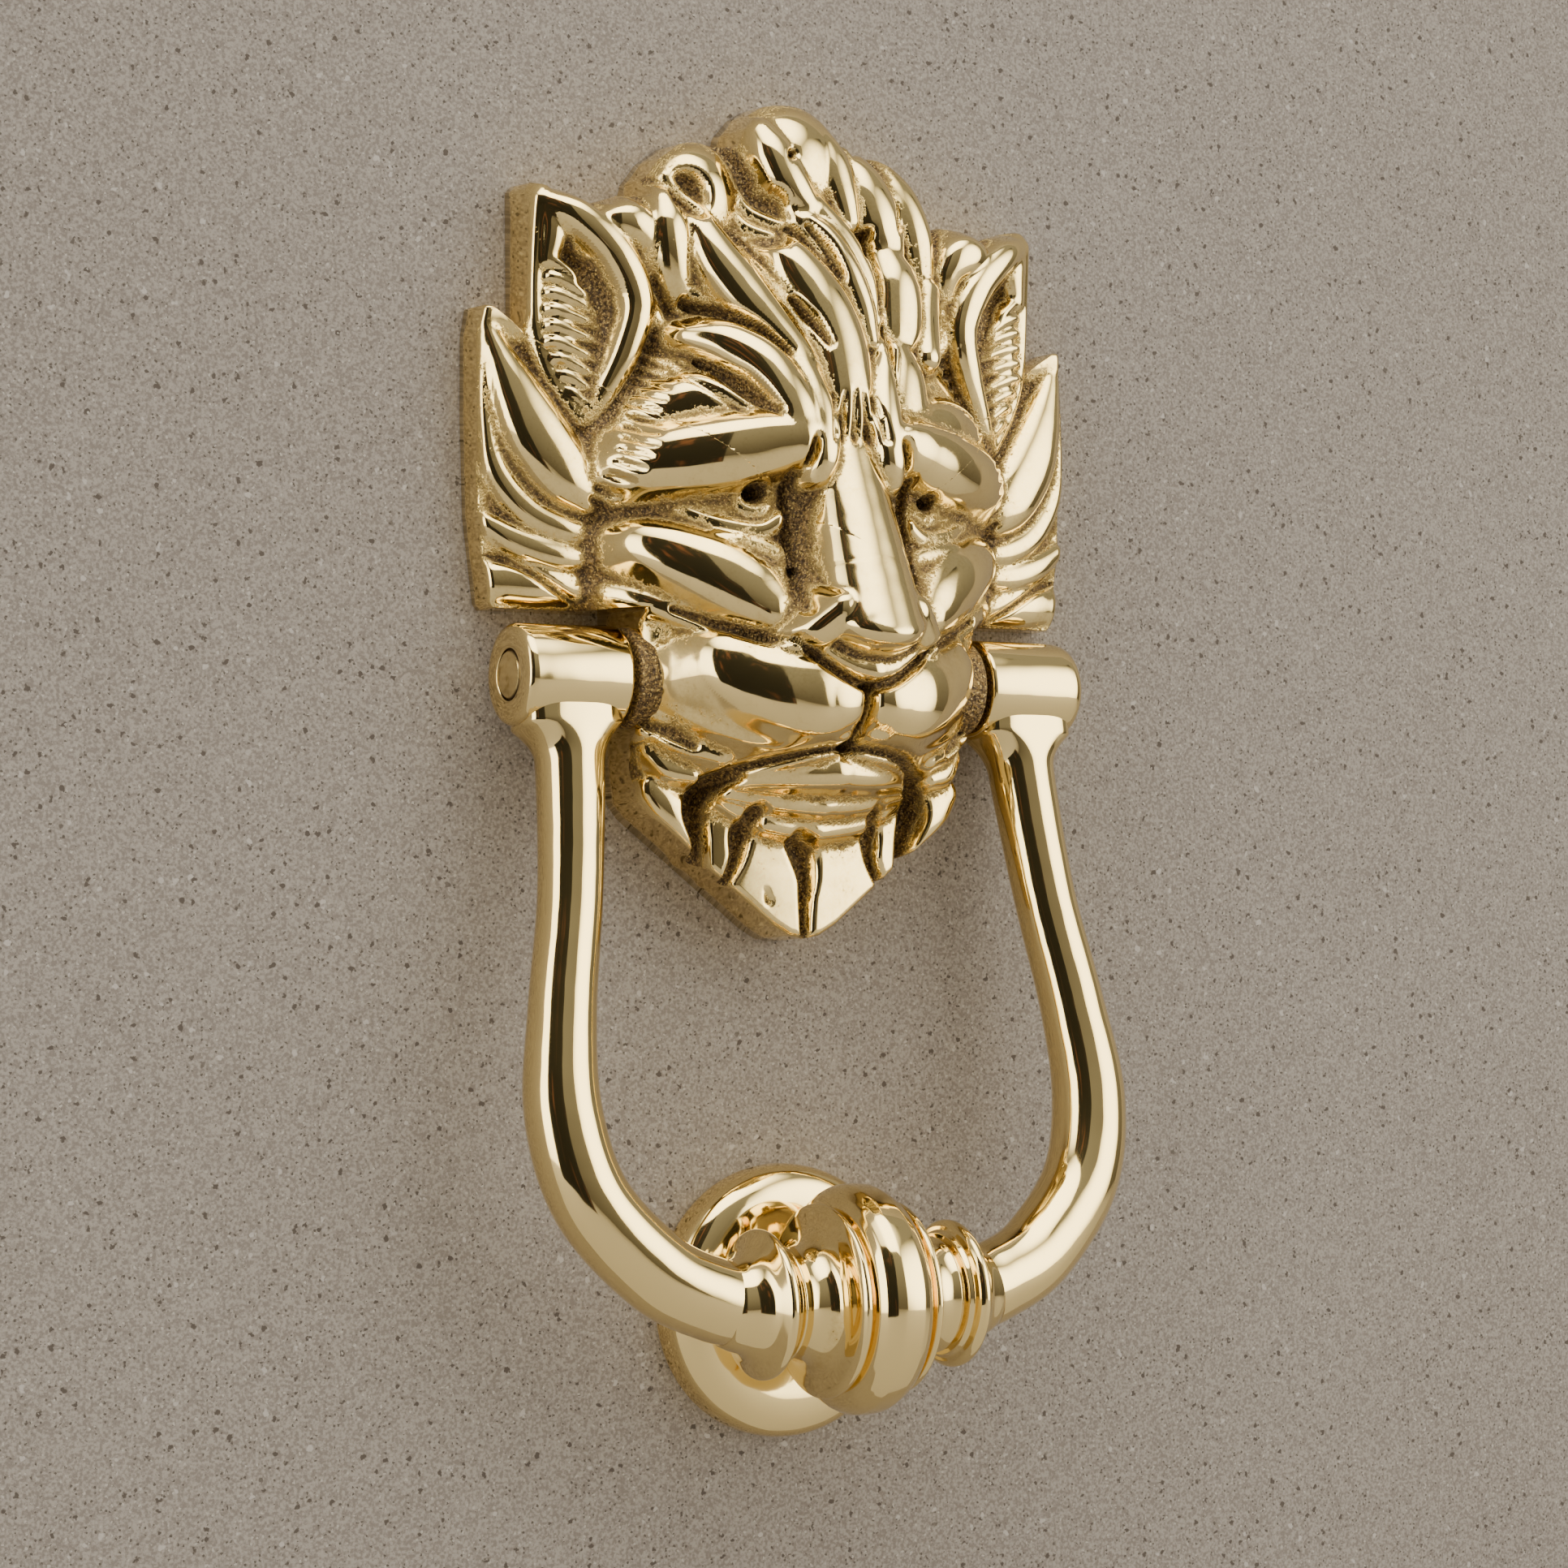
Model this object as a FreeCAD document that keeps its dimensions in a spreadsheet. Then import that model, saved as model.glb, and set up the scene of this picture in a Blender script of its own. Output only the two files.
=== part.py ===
"""Lion mask door knocker in cast brass, with a swinging bail, a strike plate and through-door fixings.

Frame: +X to the right of a person facing the door, +Z up, -Y out of the door towards that person.
The door's face is the plane Y = 0. The origin is on that plane, on the centreline, level with the
hinge axis of the bail. All sizes are in millimetres.
"""

import FreeCAD, Part
import os
import re
import Sketcher
from FreeCAD import Placement, Rotation, Vector

doc = FreeCAD.newDocument("lion_door_knocker")

# ---------------------------------------------------------------- driving dimensions
DIMENSIONS = [
    # the lion mask: heights are measured from the hinge axis, depths from the door's face
    ("plate_depth", 5.0, "edge thickness of the wing leaves"),
    ("wing_half_width", 48.4, "outermost point of the wing leaves"),
    ("wing_bottom", 9.3, "lower edge of the wing leaves"),
    ("wing_top", 51.0, "tip of the wing leaves"),
    ("wing_notch", 47.5, "notch between a wing leaf and an ear"),
    ("beard_depth", 10.0, "edge thickness of the beard"),
    ("beard_half_width", 26.0, "half width of the casting beside the hinge"),
    ("beard_shoulder", 18.0, "start of the taper of the beard, below the axis"),
    ("beard_tip_half_width", 4.5, "half width of the blunt tip of the beard"),
    ("beard_tip", 36.4, "tip of the beard, below the axis"),
    ("ear_half_width", 41.2, "outer edge of the ears"),
    ("ear_depth", 11.0, "thickness of the ears"),
    ("ear_top", 68.5, "tip of the ears"),
    ("ear_root", 28.0, "inner end of the top edge of an ear, from the centreline"),
    ("ear_root_top", 65.5, "height of that inner end"),
    ("lock_depth", 17.0, "height of the mane's top locks off the door"),
    ("crown_top", 83.5, "top of the mane"),
    ("crown_half_width", 10.0, "half width of the top lock"),
    ("crown_half_height", 12.0, "half height of the top lock"),
    ("side_lock_place", 15.5, "centre of the locks beside it, from the centreline"),
    ("side_lock_height", 68.0, "height of their centres"),
    ("side_lock_radius", 9.2, "half width of those locks"),
    ("outer_lock_place", 26.0, "centre of the outer locks, from the centreline"),
    ("outer_lock_height", 60.5, "height of their centres"),
    ("outer_lock_radius", 7.4, "half width of the outer locks"),
    ("face_half_width", 29.0, "half width of the domed face"),
    ("face_depth", 21.0, "height of the domed face off the door"),
    ("face_half_height", 47.0, "half height of the domed face"),
    ("face_centre", 24.0, "height of the middle of the face"),
    ("brow_place", 13.5, "middle of a brow, from the centreline"),
    ("brow_height", 31.0, "height of the brows"),
    ("brow_depth", 26.0, "height of the brows off the door"),
    ("brow_half_width", 12.5, "half width of a brow"),
    ("brow_half_height", 8.0, "half height of a brow"),
    ("cheek_place", 17.0, "middle of a cheek, from the centreline"),
    ("cheek_height", 13.0, "height of the cheeks"),
    ("cheek_depth", 19.0, "height of the cheeks off the door"),
    ("cheek_half_width", 12.0, "half width of a cheek"),
    ("cheek_half_height", 7.5, "half height of a cheek"),
    ("nose_half_width", 4.6, "half width of the ridge of the nose"),
    ("nose_top", 34.0, "where the nose meets the forehead"),
    ("nose_bridge_depth", 27.0, "height of the bridge off the door"),
    ("nose_tip", 6.5, "height of the tip of the nose above the axis"),
    ("nose_depth", 41.0, "height of the tip of the nose off the door"),
    ("nose_base", 2.0, "underside of the nose"),
    ("nose_base_depth", 36.0, "height of the underside of the nose off the door"),
    ("muzzle_place", 9.0, "middle of a muzzle lobe, from the centreline"),
    ("muzzle_drop", -1.0, "height of the muzzle lobes"),
    ("muzzle_depth", 31.0, "height of the muzzle lobes off the door"),
    ("muzzle_half_width", 12.5, "half width of a muzzle lobe"),
    ("muzzle_half_height", 8.5, "half height of a muzzle lobe"),
    ("lip_height", -14.0, "height of the lower lip"),
    ("lip_depth", 21.0, "height of the lower lip off the door"),
    ("lip_half_width", 16.0, "half width of the lower lip"),
    ("lip_half_height", 8.0, "half height of the lower lip"),
    ("hollow_half_width", 22.0, "half width of the hollow in the back"),
    ("hollow_depth", 16.0, "depth of the hollow"),
    ("hollow_half_height", 40.0, "half height of the hollow"),
    ("stud_boss_radius", 6.5, "bosses in the hollow that take the studs"),
    ("stud_boss_depth", 16.5, "depth of those bosses"),
    ("upper_stud", 48.0, "height of the upper stud"),
    ("lower_stud", -15.0, "height of the lower stud"),
    # the hinge
    ("hinge_stand_off", 8.1, "hinge axis to the door's face"),
    ("lug_radius", 7.0, "radius of the hinge lugs on the mask"),
    ("lug_inner", 13.0, "inner end of a lug, from the centreline"),
    ("lug_outer", 28.2, "outer end of a lug, from the centreline"),
    ("pin_radius", 3.5, "radius of the hinge pins"),
    ("pin_inner", 16.0, "inner end of a pin, from the centreline"),
    ("pin_chamfer", 0.4, "chamfer on the ends of a pin"),
    ("running_clearance", 0.05, "radial clearance of a pin in its boss"),
    # the bail, drawn straight down from its hinge axis and then tilted off the door
    ("boss_radius", 7.1, "radius of the bail's hinge bosses"),
    ("boss_inner", 29.1, "inner face of a boss, from the centreline"),
    ("boss_outer", 45.1, "outer face of a boss, from the centreline"),
    ("bail_length", 86.9, "hinge axis to the axis of the striking bead"),
    ("bail_tilt", 9.87, "angle between the hanging bail and the door, degrees"),
    ("bead_radius", 15.4, "radius of the striking bead"),
    ("bead_half_width", 4.6, "half width of the striking bead"),
    ("disc_radius", 13.2, "radius of the thin discs beside the bead"),
    ("disc_place", 6.0, "outer face of a disc, from the centreline"),
    ("cove_length", 2.6, "length of the cove from a disc down to its neck"),
    ("neck_radius", 6.5, "radius of the turned necks"),
    ("step_radius", 7.6, "radius of the step between neck and collar"),
    ("step_place", 12.0, "inner face of that step, from the centreline"),
    ("collar_radius", 9.9, "radius of the end collars"),
    ("collar_place", 15.5, "middle of an end collar, from the centreline"),
    ("collar_half_width", 2.6, "half width of an end collar"),
    # the strike plate
    ("strike_radius", 19.3, "radius of the strike plate"),
    ("strike_height", -87.2, "height of its centre"),
    ("strike_depth", 7.3, "height of its top off the door"),
    ("strike_round", 3.4, "radius round its front edge"),
    # the fixings through the door
    ("door_thickness", 44.0, "thickness of the door"),
    ("shank_radius", 3.0, "radius of the studs inside the door"),
    ("thread_radius", 2.68, "effective radius of the studs' threads"),
    ("mask_thread", 12.0, "length of thread in the mask"),
    ("mouth_radius", 3.3, "radius of the counterbore at the mouth of a tapped hole"),
    ("mouth_depth", 0.8, "depth of that counterbore"),
    ("strike_thread", 4.6, "length of thread in the strike plate"),
    ("nut_thread", 9.0, "length of thread past the door"),
    ("washer_radius", 9.0, "radius of the washers"),
    ("washer_bore", 3.2, "radius of the hole in the washers"),
    ("washer_thickness", 1.6, "thickness of the washers"),
    ("nut_corner_radius", 5.77, "radius over the corners of the dome nuts"),
    ("nut_flat_height", 5.0, "height of the hexagon of the dome nuts"),
    ("dome_radius", 4.7, "radius of the dome on the nuts"),
    ("dome_centre", 7.3, "height of the dome's centre above the washer"),
]

# Half of the bail's bent rod from the hinge to the collar: distance from the centreline,
# distance below the hinge axis, radius. A smooth curve passes through these stations.
ARM_STATIONS = [
    (36.8, 0.0, 5.2),
    (36.9, 13.5, 4.8),
    (38.5, 30.5, 4.5),
    (41.2, 46.5, 4.7),
    (42.3, 60.0, 5.3),
    (39.2, 72.0, 5.5),
    (30.5, 81.7, 5.6),
    (16.0, 86.9, 5.6),
]
ARM_SECTIONS = 20

sheet = doc.addObject("Spreadsheet::Sheet", "Dimensions")
for row, (alias, value, note) in enumerate(DIMENSIONS, start=1):
    sheet.set(f"A{row}", note)
    sheet.set(f"B{row}", str(value))
    sheet.setAlias(f"B{row}", alias)
doc.recompute()

size = {alias: value for alias, value, _ in DIMENSIONS}
OUT_OF_DOOR = Rotation(Vector(1, 0, 0), 90)
INTO_DOOR = Rotation(Vector(1, 0, 0), -90)
ACROSS = Rotation(Vector(0, 1, 0), 90)
SIDES = (("right", ""), ("left", "-"))  # the sign that puts a distance on that side


# ---------------------------------------------------------------- small builders
def in_sheet(text):
    """Point every alias in an expression at its cell of the sheet."""
    return re.sub(r"[a-z]\w*", lambda word: f"Dimensions.{word[0]}" if word[0] in size else word[0], text)


def bind(item, **expressions):
    """Tie properties to expressions over the sheet's aliases; two underscores stand for a dot."""
    for name, text in expressions.items():
        item.setExpression(name.replace("__", "."), in_sheet(text))
    return item


def put(item, place, rotation=Rotation()):
    """Turn an object and tie its place to three expressions."""
    item.Placement = Placement(Vector(), rotation)
    x, y, z = place
    return bind(item, Placement__Base__x=x, Placement__Base__y=y, Placement__Base__z=z)


def cylinder(name, radius, length, place, rotation):
    item = doc.addObject("Part::Cylinder", name)
    bind(item, Radius=radius, Height=length)
    return put(item, place, rotation)


def ellipsoid(name, half_width, depth, half_height, place):
    item = doc.addObject("Part::Ellipsoid", name)
    item.Angle1 = -90
    item.Angle2 = 90
    item.Angle3 = 360
    bind(item, Radius1=half_height, Radius2=half_width, Radius3=depth)
    return put(item, place)


def ring(name, outer_radius, half_width, place):
    """A round-edged ring about the X direction."""
    item = doc.addObject("Part::Torus", name)
    bind(item, Radius1=f"{outer_radius} - {half_width}", Radius2=half_width)
    return put(item, place, ACROSS)


def fuse(name, items):
    item = doc.addObject("Part::MultiFuse", name)
    item.Shapes = items
    item.Refine = True
    return item


def cut(name, base, tool):
    item = doc.addObject("Part::Cut", name)
    item.Base = base
    item.Tool = tool
    item.Refine = True
    return item


def origin_plane(body, role):
    return next(plane for plane in body.Origin.OriginFeatures if plane.Role == role)


def sketch_in(body, name, role):
    sketch = body.newObject("Sketcher::SketchObject", name)
    sketch.AttachmentSupport = [(origin_plane(body, role), "")]
    sketch.MapMode = "FlatFace"
    sketch.Visibility = False
    return sketch


def circle_in(body, name, role, radius):
    """A sketch of one circle about the body's own origin."""
    sketch = sketch_in(body, name, role)
    circle = sketch.addGeometry(Part.Circle(Vector(), Vector(0, 0, 1), size[radius]), False)
    sketch.addConstraint(Sketcher.Constraint("Coincident", circle, 3, -1, 1))
    sketch.addConstraint(Sketcher.Constraint("Radius", circle, size[radius]))
    sketch.setExpression("Constraints[1]", in_sheet(radius))
    return sketch


def signed(text):
    """The value of an alias with an optional minus sign; zero for a corner on an axis."""
    value = size.get(text.lstrip("-"), 0.0)
    return -value if text.startswith("-") else value


def tie_corner(sketch, line, kind, text):
    """Hold one coordinate of a line's start at an alias, or on the axis it would lie on."""
    if text == "0":
        axis = -2 if kind == "DistanceX" else -1
        sketch.addConstraint(Sketcher.Constraint("PointOnObject", line, 1, axis))
        return
    index = sketch.addConstraint(Sketcher.Constraint(kind, -1, 1, line, 1, signed(text)))
    sketch.setExpression(f"Constraints[{index}]", in_sheet(text))


def outline_body(name, role, corners, length, midplane=False):
    """A padded polygon; its corners are pairs of aliases in the sketch plane."""
    body = doc.addObject("PartDesign::Body", name)
    sketch = sketch_in(body, name + "_outline", role)
    points = [Vector(signed(across), signed(up), 0) for across, up in corners]
    for start, end in zip(points, points[1:] + points[:1]):
        sketch.addGeometry(Part.LineSegment(start, end), False)
    for line in range(len(points)):
        sketch.addConstraint(Sketcher.Constraint("Coincident", line, 2, (line + 1) % len(points), 1))
    for line, (across, up) in enumerate(corners):
        tie_corner(sketch, line, "DistanceX", across)
        tie_corner(sketch, line, "DistanceY", up)
    pad = body.newObject("PartDesign::Pad", name + "_pad")
    pad.Profile = sketch
    pad.Midplane = midplane
    bind(pad, Length=length)
    return body


def mirrored_corners(corners):
    """The same corners on the left, in reverse, to close an outline symmetric about the centreline."""
    return corners + [("-" + across, up) for across, up in reversed(corners)]


# ---------------------------------------------------------------- the lion mask
def face_of_mask():
    """Everything that stands in front of the door, still solid and running back past its face."""
    items = [
        outline_body("wing_leaves", "XZ_Plane", mirrored_corners([
            ("wing_half_width", "wing_bottom"),
            ("wing_half_width", "wing_top"),
            ("ear_half_width", "wing_notch"),
        ]), "plate_depth"),
        outline_body("beard", "XZ_Plane", mirrored_corners([
            ("beard_tip_half_width", "-beard_tip"),
            ("beard_half_width", "-beard_shoulder"),
            ("beard_half_width", "wing_bottom"),
        ]), "beard_depth"),
        outline_body("ears", "XZ_Plane", mirrored_corners([
            ("ear_half_width", "wing_notch"),
            ("ear_half_width", "ear_top"),
            ("ear_root", "ear_root_top"),
        ]), "ear_depth"),
        outline_body("nose", "YZ_Plane", [
            ("0", "nose_base"),
            ("0", "nose_top"),
            ("-nose_bridge_depth", "nose_top"),
            ("-nose_depth", "nose_tip"),
            ("-nose_base_depth", "nose_base"),
        ], "2 * nose_half_width", midplane=True),
        ellipsoid("face_dome", "face_half_width", "face_depth", "face_half_height",
                  ("0", "0", "face_centre")),
        ellipsoid("crown", "crown_half_width", "lock_depth", "crown_half_height",
                  ("0", "0", "crown_top - crown_half_height")),
        ellipsoid("lower_lip", "lip_half_width", "lip_depth", "lip_half_height", ("0", "0", "lip_height")),
    ]
    pairs = [
        ("side_lock", "side_lock_radius", "lock_depth", "side_lock_radius",
         "side_lock_place", "side_lock_height"),
        ("outer_lock", "outer_lock_radius", "lock_depth", "outer_lock_radius",
         "outer_lock_place", "outer_lock_height"),
        ("brow", "brow_half_width", "brow_depth", "brow_half_height", "brow_place", "brow_height"),
        ("cheek", "cheek_half_width", "cheek_depth", "cheek_half_height", "cheek_place", "cheek_height"),
        ("muzzle", "muzzle_half_width", "muzzle_depth", "muzzle_half_height", "muzzle_place", "muzzle_drop"),
    ]
    for name, half_width, depth, half_height, place, height in pairs:
        for side, sign in SIDES:
            items.append(ellipsoid(f"{name}_{side}", half_width, depth, half_height,
                                   (sign + place, "0", height)))
    return fuse("face_of_mask", items)


def lion_mask():
    """The casting: the face, cut flat against the door, hollow behind, with stud bosses and hinge lugs."""
    behind = doc.addObject("Part::Box", "behind_the_door_face")
    bind(behind, Length="2.2 * wing_half_width", Width="2 * nose_depth",
         Height="1.3 * (crown_top + beard_tip)")
    put(behind, ("-1.1 * wing_half_width", "0", "-1.2 * beard_tip"))
    hollow = ellipsoid("hollow_back", "hollow_half_width", "hollow_depth", "hollow_half_height",
                       ("0", "0", "face_centre"))
    shell = cut("mask_shell", face_of_mask(), fuse("mask_waste", [behind, hollow]))

    added = [shell]
    holes = []
    for name, height in (("upper", "upper_stud"), ("lower", "lower_stud")):
        added.append(cylinder(f"stud_boss_{name}", "stud_boss_radius", "stud_boss_depth",
                              ("0", "0", height), OUT_OF_DOOR))
        holes.append(cylinder(f"stud_hole_{name}", "thread_radius", "mask_thread",
                              ("0", "0", height), OUT_OF_DOOR))
        holes.append(cylinder(f"stud_mouth_{name}", "mouth_radius", "mouth_depth",
                              ("0", "0", height), OUT_OF_DOOR))
    for side, sign in SIDES:
        lug_start = "lug_inner" if side == "right" else "-lug_outer"
        hole_start = "pin_inner" if side == "right" else "-lug_outer"
        added.append(cylinder(f"hinge_lug_{side}", "lug_radius", "lug_outer - lug_inner",
                              (lug_start, "-hinge_stand_off", "0"), ACROSS))
        holes.append(cylinder(f"pin_hole_{side}", "pin_radius", "lug_outer - pin_inner",
                              (hole_start, "-hinge_stand_off", "0"), ACROSS))
    return cut("lion_mask", fuse("mask_with_bosses", added), fuse("mask_holes", holes))


# ---------------------------------------------------------------- the hinge pins
def hinge_pin(side):
    """A plain pin, pressed into the mask's lug and flush with the outer face of the bail's boss."""
    body = doc.addObject("PartDesign::Body", f"hinge_pin_{side}")
    pad = body.newObject("PartDesign::Pad", f"pin_length_{side}")
    pad.Profile = circle_in(body, f"pin_circle_{side}", "YZ_Plane", "pin_radius")
    bind(pad, Length="boss_outer - pin_inner")
    doc.recompute()
    chamfer = body.newObject("PartDesign::Chamfer", f"pin_chamfer_{side}")
    rims = [f"Edge{i + 1}" for i, edge in enumerate(pad.Shape.Edges) if edge.isClosed()]
    chamfer.Base = (pad, rims)
    bind(chamfer, Size="pin_chamfer")
    start = "pin_inner" if side == "right" else "-boss_outer"
    return put(body, (start, "-hinge_stand_off", "0"))


# ---------------------------------------------------------------- the bail
def bail_arm(side):
    """One side of the bent rod: circles square to a smooth curve, joined by one smooth skin."""
    mirror = 1 if side == "right" else -1
    # The curve carries the rod's radius as its Y coordinate, so that radius changes smoothly too.
    curve = Part.BSplineCurve()
    curve.interpolate([Vector(mirror * across, radius, -down) for across, down, radius in ARM_STATIONS])
    circles = []
    for i in range(ARM_SECTIONS):
        turn = curve.FirstParameter + (curve.LastParameter - curve.FirstParameter) * i / (ARM_SECTIONS - 1)
        point = curve.value(turn)
        along = curve.tangent(turn)[0]
        circle = Part.Circle(Vector(point.x, 0, point.z), Vector(along.x, 0, along.z), point.y)
        circles.append(Part.Wire(circle.toShape()))
    arm = doc.addObject("Part::Feature", f"bail_arm_{side}")
    arm.Shape = Part.makeLoft(circles, True)
    return arm


def bail_boss(side):
    """The barrel at the top of an arm, with its outer rim rounded over."""
    start = "boss_inner" if side == "right" else "-boss_outer"
    return cylinder(f"bail_boss_{side}", "boss_radius", "boss_outer - boss_inner", (start, "0", "0"), ACROSS)


def knocker_bail():
    """The swinging casting: two bosses, a bent rod and the turned ornament that does the knocking."""
    below = "-bail_length"
    items = [
        cylinder("ornament_core", "neck_radius", "2 * collar_place", ("-collar_place", "0", below), ACROSS),
        cylinder("bead_web", "bead_radius - bead_half_width", "2 * bead_half_width",
                 ("-bead_half_width", "0", below), ACROSS),
        cylinder("bead_discs", "disc_radius", "2 * disc_place", ("-disc_place", "0", below), ACROSS),
        ring("bead_rim", "bead_radius", "bead_half_width", ("0", "0", below)),
    ]
    bores = []
    for side, sign in SIDES:
        step_start = "step_place" if side == "right" else "-collar_place"
        items.append(bail_arm(side))
        items.append(bail_boss(side))
        items.append(ring(f"collar_{side}", "collar_radius", "collar_half_width",
                          (sign + "collar_place", "0", below)))
        items.append(cylinder(f"collar_web_{side}", "collar_radius - collar_half_width",
                              "2 * collar_half_width",
                              (sign + "collar_place - collar_half_width", "0", below), ACROSS))
        items.append(cylinder(f"neck_step_{side}", "step_radius", "collar_place - step_place",
                              (step_start, "0", below), ACROSS))
        cove = doc.addObject("Part::Cone", f"cove_{side}")
        wide, narrow = ("Radius1", "Radius2") if side == "right" else ("Radius2", "Radius1")
        bind(cove, Height="cove_length", **{wide: "disc_radius - 1.2", narrow: "neck_radius"})
        cove_start = "disc_place" if side == "right" else "-disc_place - cove_length"
        items.append(put(cove, (cove_start, "0", below), ACROSS))
        bore_start = "boss_inner" if side == "right" else "-boss_outer"
        bores.append(cylinder(f"pin_bore_{side}", "pin_radius + running_clearance",
                              "boss_outer - boss_inner", (bore_start, "0", "0"), ACROSS))
    bail = cut("knocker_bail", fuse("bail_casting", items), fuse("bail_bores", bores))
    put(bail, ("0", "-hinge_stand_off", "0"), Rotation(Vector(-1, 0, 0), size["bail_tilt"]))
    return bind(bail, Placement__Rotation__Angle="bail_tilt")


# ---------------------------------------------------------------- the strike plate
def strike_plate():
    """A round button, rounded over at the front, tapped from behind for its stud."""
    body = doc.addObject("PartDesign::Body", "strike_plate")
    pad = body.newObject("PartDesign::Pad", "strike_pad")
    pad.Profile = circle_in(body, "strike_circle", "XZ_Plane", "strike_radius")
    bind(pad, Length="strike_depth")
    doc.recompute()

    def is_front_rim(edge):
        return edge.isClosed() and abs(edge.BoundBox.YMax + size["strike_depth"]) < 1e-6

    front_rim = [f"Edge{i + 1}" for i, edge in enumerate(pad.Shape.Edges) if is_front_rim(edge)]
    rounded = body.newObject("PartDesign::Fillet", "strike_rounding")
    rounded.Base = (pad, front_rim)
    bind(rounded, Radius="strike_round")
    doc.recompute()

    for name, radius, depth in (("strike_thread_hole", "thread_radius", "strike_thread"),
                                ("strike_hole_mouth", "mouth_radius", "mouth_depth")):
        pocket = body.newObject("PartDesign::Pocket", name)
        pocket.Profile = circle_in(body, name + "_circle", "XZ_Plane", radius)
        pocket.Reversed = True
        bind(pocket, Length=depth)
        doc.recompute()
    return put(body, ("0", "0", "strike_height"))


# ---------------------------------------------------------------- the fixings
def stud(name, height, thread):
    """A threaded stud, from its thread in the casting, through the door, to the thread for its nut."""
    return fuse(name, [
        cylinder(name + "_front_thread", "thread_radius", thread, ("0", "0", height), OUT_OF_DOOR),
        cylinder(name + "_shank", "shank_radius", "door_thickness", ("0", "0", height), INTO_DOOR),
        cylinder(name + "_back_thread", "thread_radius", "nut_thread",
                 ("0", "door_thickness", height), INTO_DOOR),
    ])


def washer(name, height):
    """A flat washer against the inside of the door."""
    place = ("0", "door_thickness", height)
    blank = cylinder(name + "_blank", "washer_radius", "washer_thickness", place, INTO_DOOR)
    hole = cylinder(name + "_hole", "washer_bore", "washer_thickness", place, INTO_DOOR)
    return cut(name, blank, hole)


def dome_nut(name, height):
    """A hexagonal nut closed by a dome, with a blind thread."""
    back = "door_thickness + washer_thickness"
    hexagon = doc.addObject("Part::Prism", name + "_hexagon")
    hexagon.Polygon = 6
    bind(hexagon, Circumradius="nut_corner_radius", Height="nut_flat_height")
    put(hexagon, ("0", back, height), INTO_DOOR)
    neck = cylinder(name + "_neck", "dome_radius", "dome_centre", ("0", back, height), INTO_DOOR)
    dome = doc.addObject("Part::Sphere", name + "_dome")
    bind(dome, Radius="dome_radius")
    put(dome, ("0", back + " + dome_centre", height))
    thread = cylinder(name + "_thread", "thread_radius", "nut_thread - washer_thickness",
                      ("0", back, height), INTO_DOOR)
    return cut(name, fuse(name + "_blank", [hexagon, neck, dome]), thread)


# ---------------------------------------------------------------- the assembly
parts = [lion_mask(), knocker_bail(), strike_plate(), hinge_pin("right"), hinge_pin("left")]
FIXINGS = [
    ("mask_stud_upper", "washer_upper", "dome_nut_upper", "upper_stud", "mask_thread"),
    ("mask_stud_lower", "washer_lower", "dome_nut_lower", "lower_stud", "mask_thread"),
    ("strike_stud", "washer_strike", "dome_nut_strike", "strike_height", "strike_thread"),
]
for stud_name, washer_name, nut_name, height, thread in FIXINGS:
    parts.append(stud(stud_name, height, thread))
    parts.append(washer(washer_name, height))
    parts.append(dome_nut(nut_name, height))
doc.recompute()

for item in doc.Objects:
    if {"Invalid", "Error"} & set(item.State):
        raise RuntimeError(f"{item.Name} failed: {item.State}")

os.makedirs("parts", exist_ok=True)
for item in parts:
    shape = item.Shape
    if shape.isNull() or not shape.isValid() or not shape.Solids:
        raise RuntimeError(f"{item.Label} has no valid solid")
    shape.exportStep(f"parts/{item.Label}.step")
    print(f"{item.Label}: {len(shape.Solids)} solid, {shape.Volume / 1000:.2f} cm3")
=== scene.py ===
import math

import bmesh
import bpy
import numpy as np
from mathutils import Matrix, Vector


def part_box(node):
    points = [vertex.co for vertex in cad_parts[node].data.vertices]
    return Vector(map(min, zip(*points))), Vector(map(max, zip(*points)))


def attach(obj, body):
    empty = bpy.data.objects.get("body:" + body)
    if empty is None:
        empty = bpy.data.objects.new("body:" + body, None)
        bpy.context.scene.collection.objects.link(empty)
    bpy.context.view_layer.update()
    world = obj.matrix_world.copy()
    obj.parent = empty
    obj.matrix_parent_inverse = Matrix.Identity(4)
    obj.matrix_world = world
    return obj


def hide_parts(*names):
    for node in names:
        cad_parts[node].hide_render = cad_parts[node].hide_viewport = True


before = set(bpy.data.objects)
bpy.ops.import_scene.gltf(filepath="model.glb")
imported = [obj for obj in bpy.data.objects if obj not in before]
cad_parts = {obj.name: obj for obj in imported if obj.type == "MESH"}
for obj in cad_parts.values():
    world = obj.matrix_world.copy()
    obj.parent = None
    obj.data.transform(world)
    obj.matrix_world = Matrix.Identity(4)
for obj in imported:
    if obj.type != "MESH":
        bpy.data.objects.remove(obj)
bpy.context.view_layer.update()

# ---------------------------------------------------------------- the lion mask
# One brass casting, sand cast with a hollow back, so its front is a height off the door at every
# point: tubular locks, brows, cheeks, lips and leaves laid over a rough ground. The high parts are
# filed and mirror polished, and the ground between them keeps its dark patina and its pits.
MM = 0.001
mask_low, mask_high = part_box("lion_mask")
HINGE = (0.0, -8.1, 0.0)  # a point of the hinge axis, which runs along x

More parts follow.
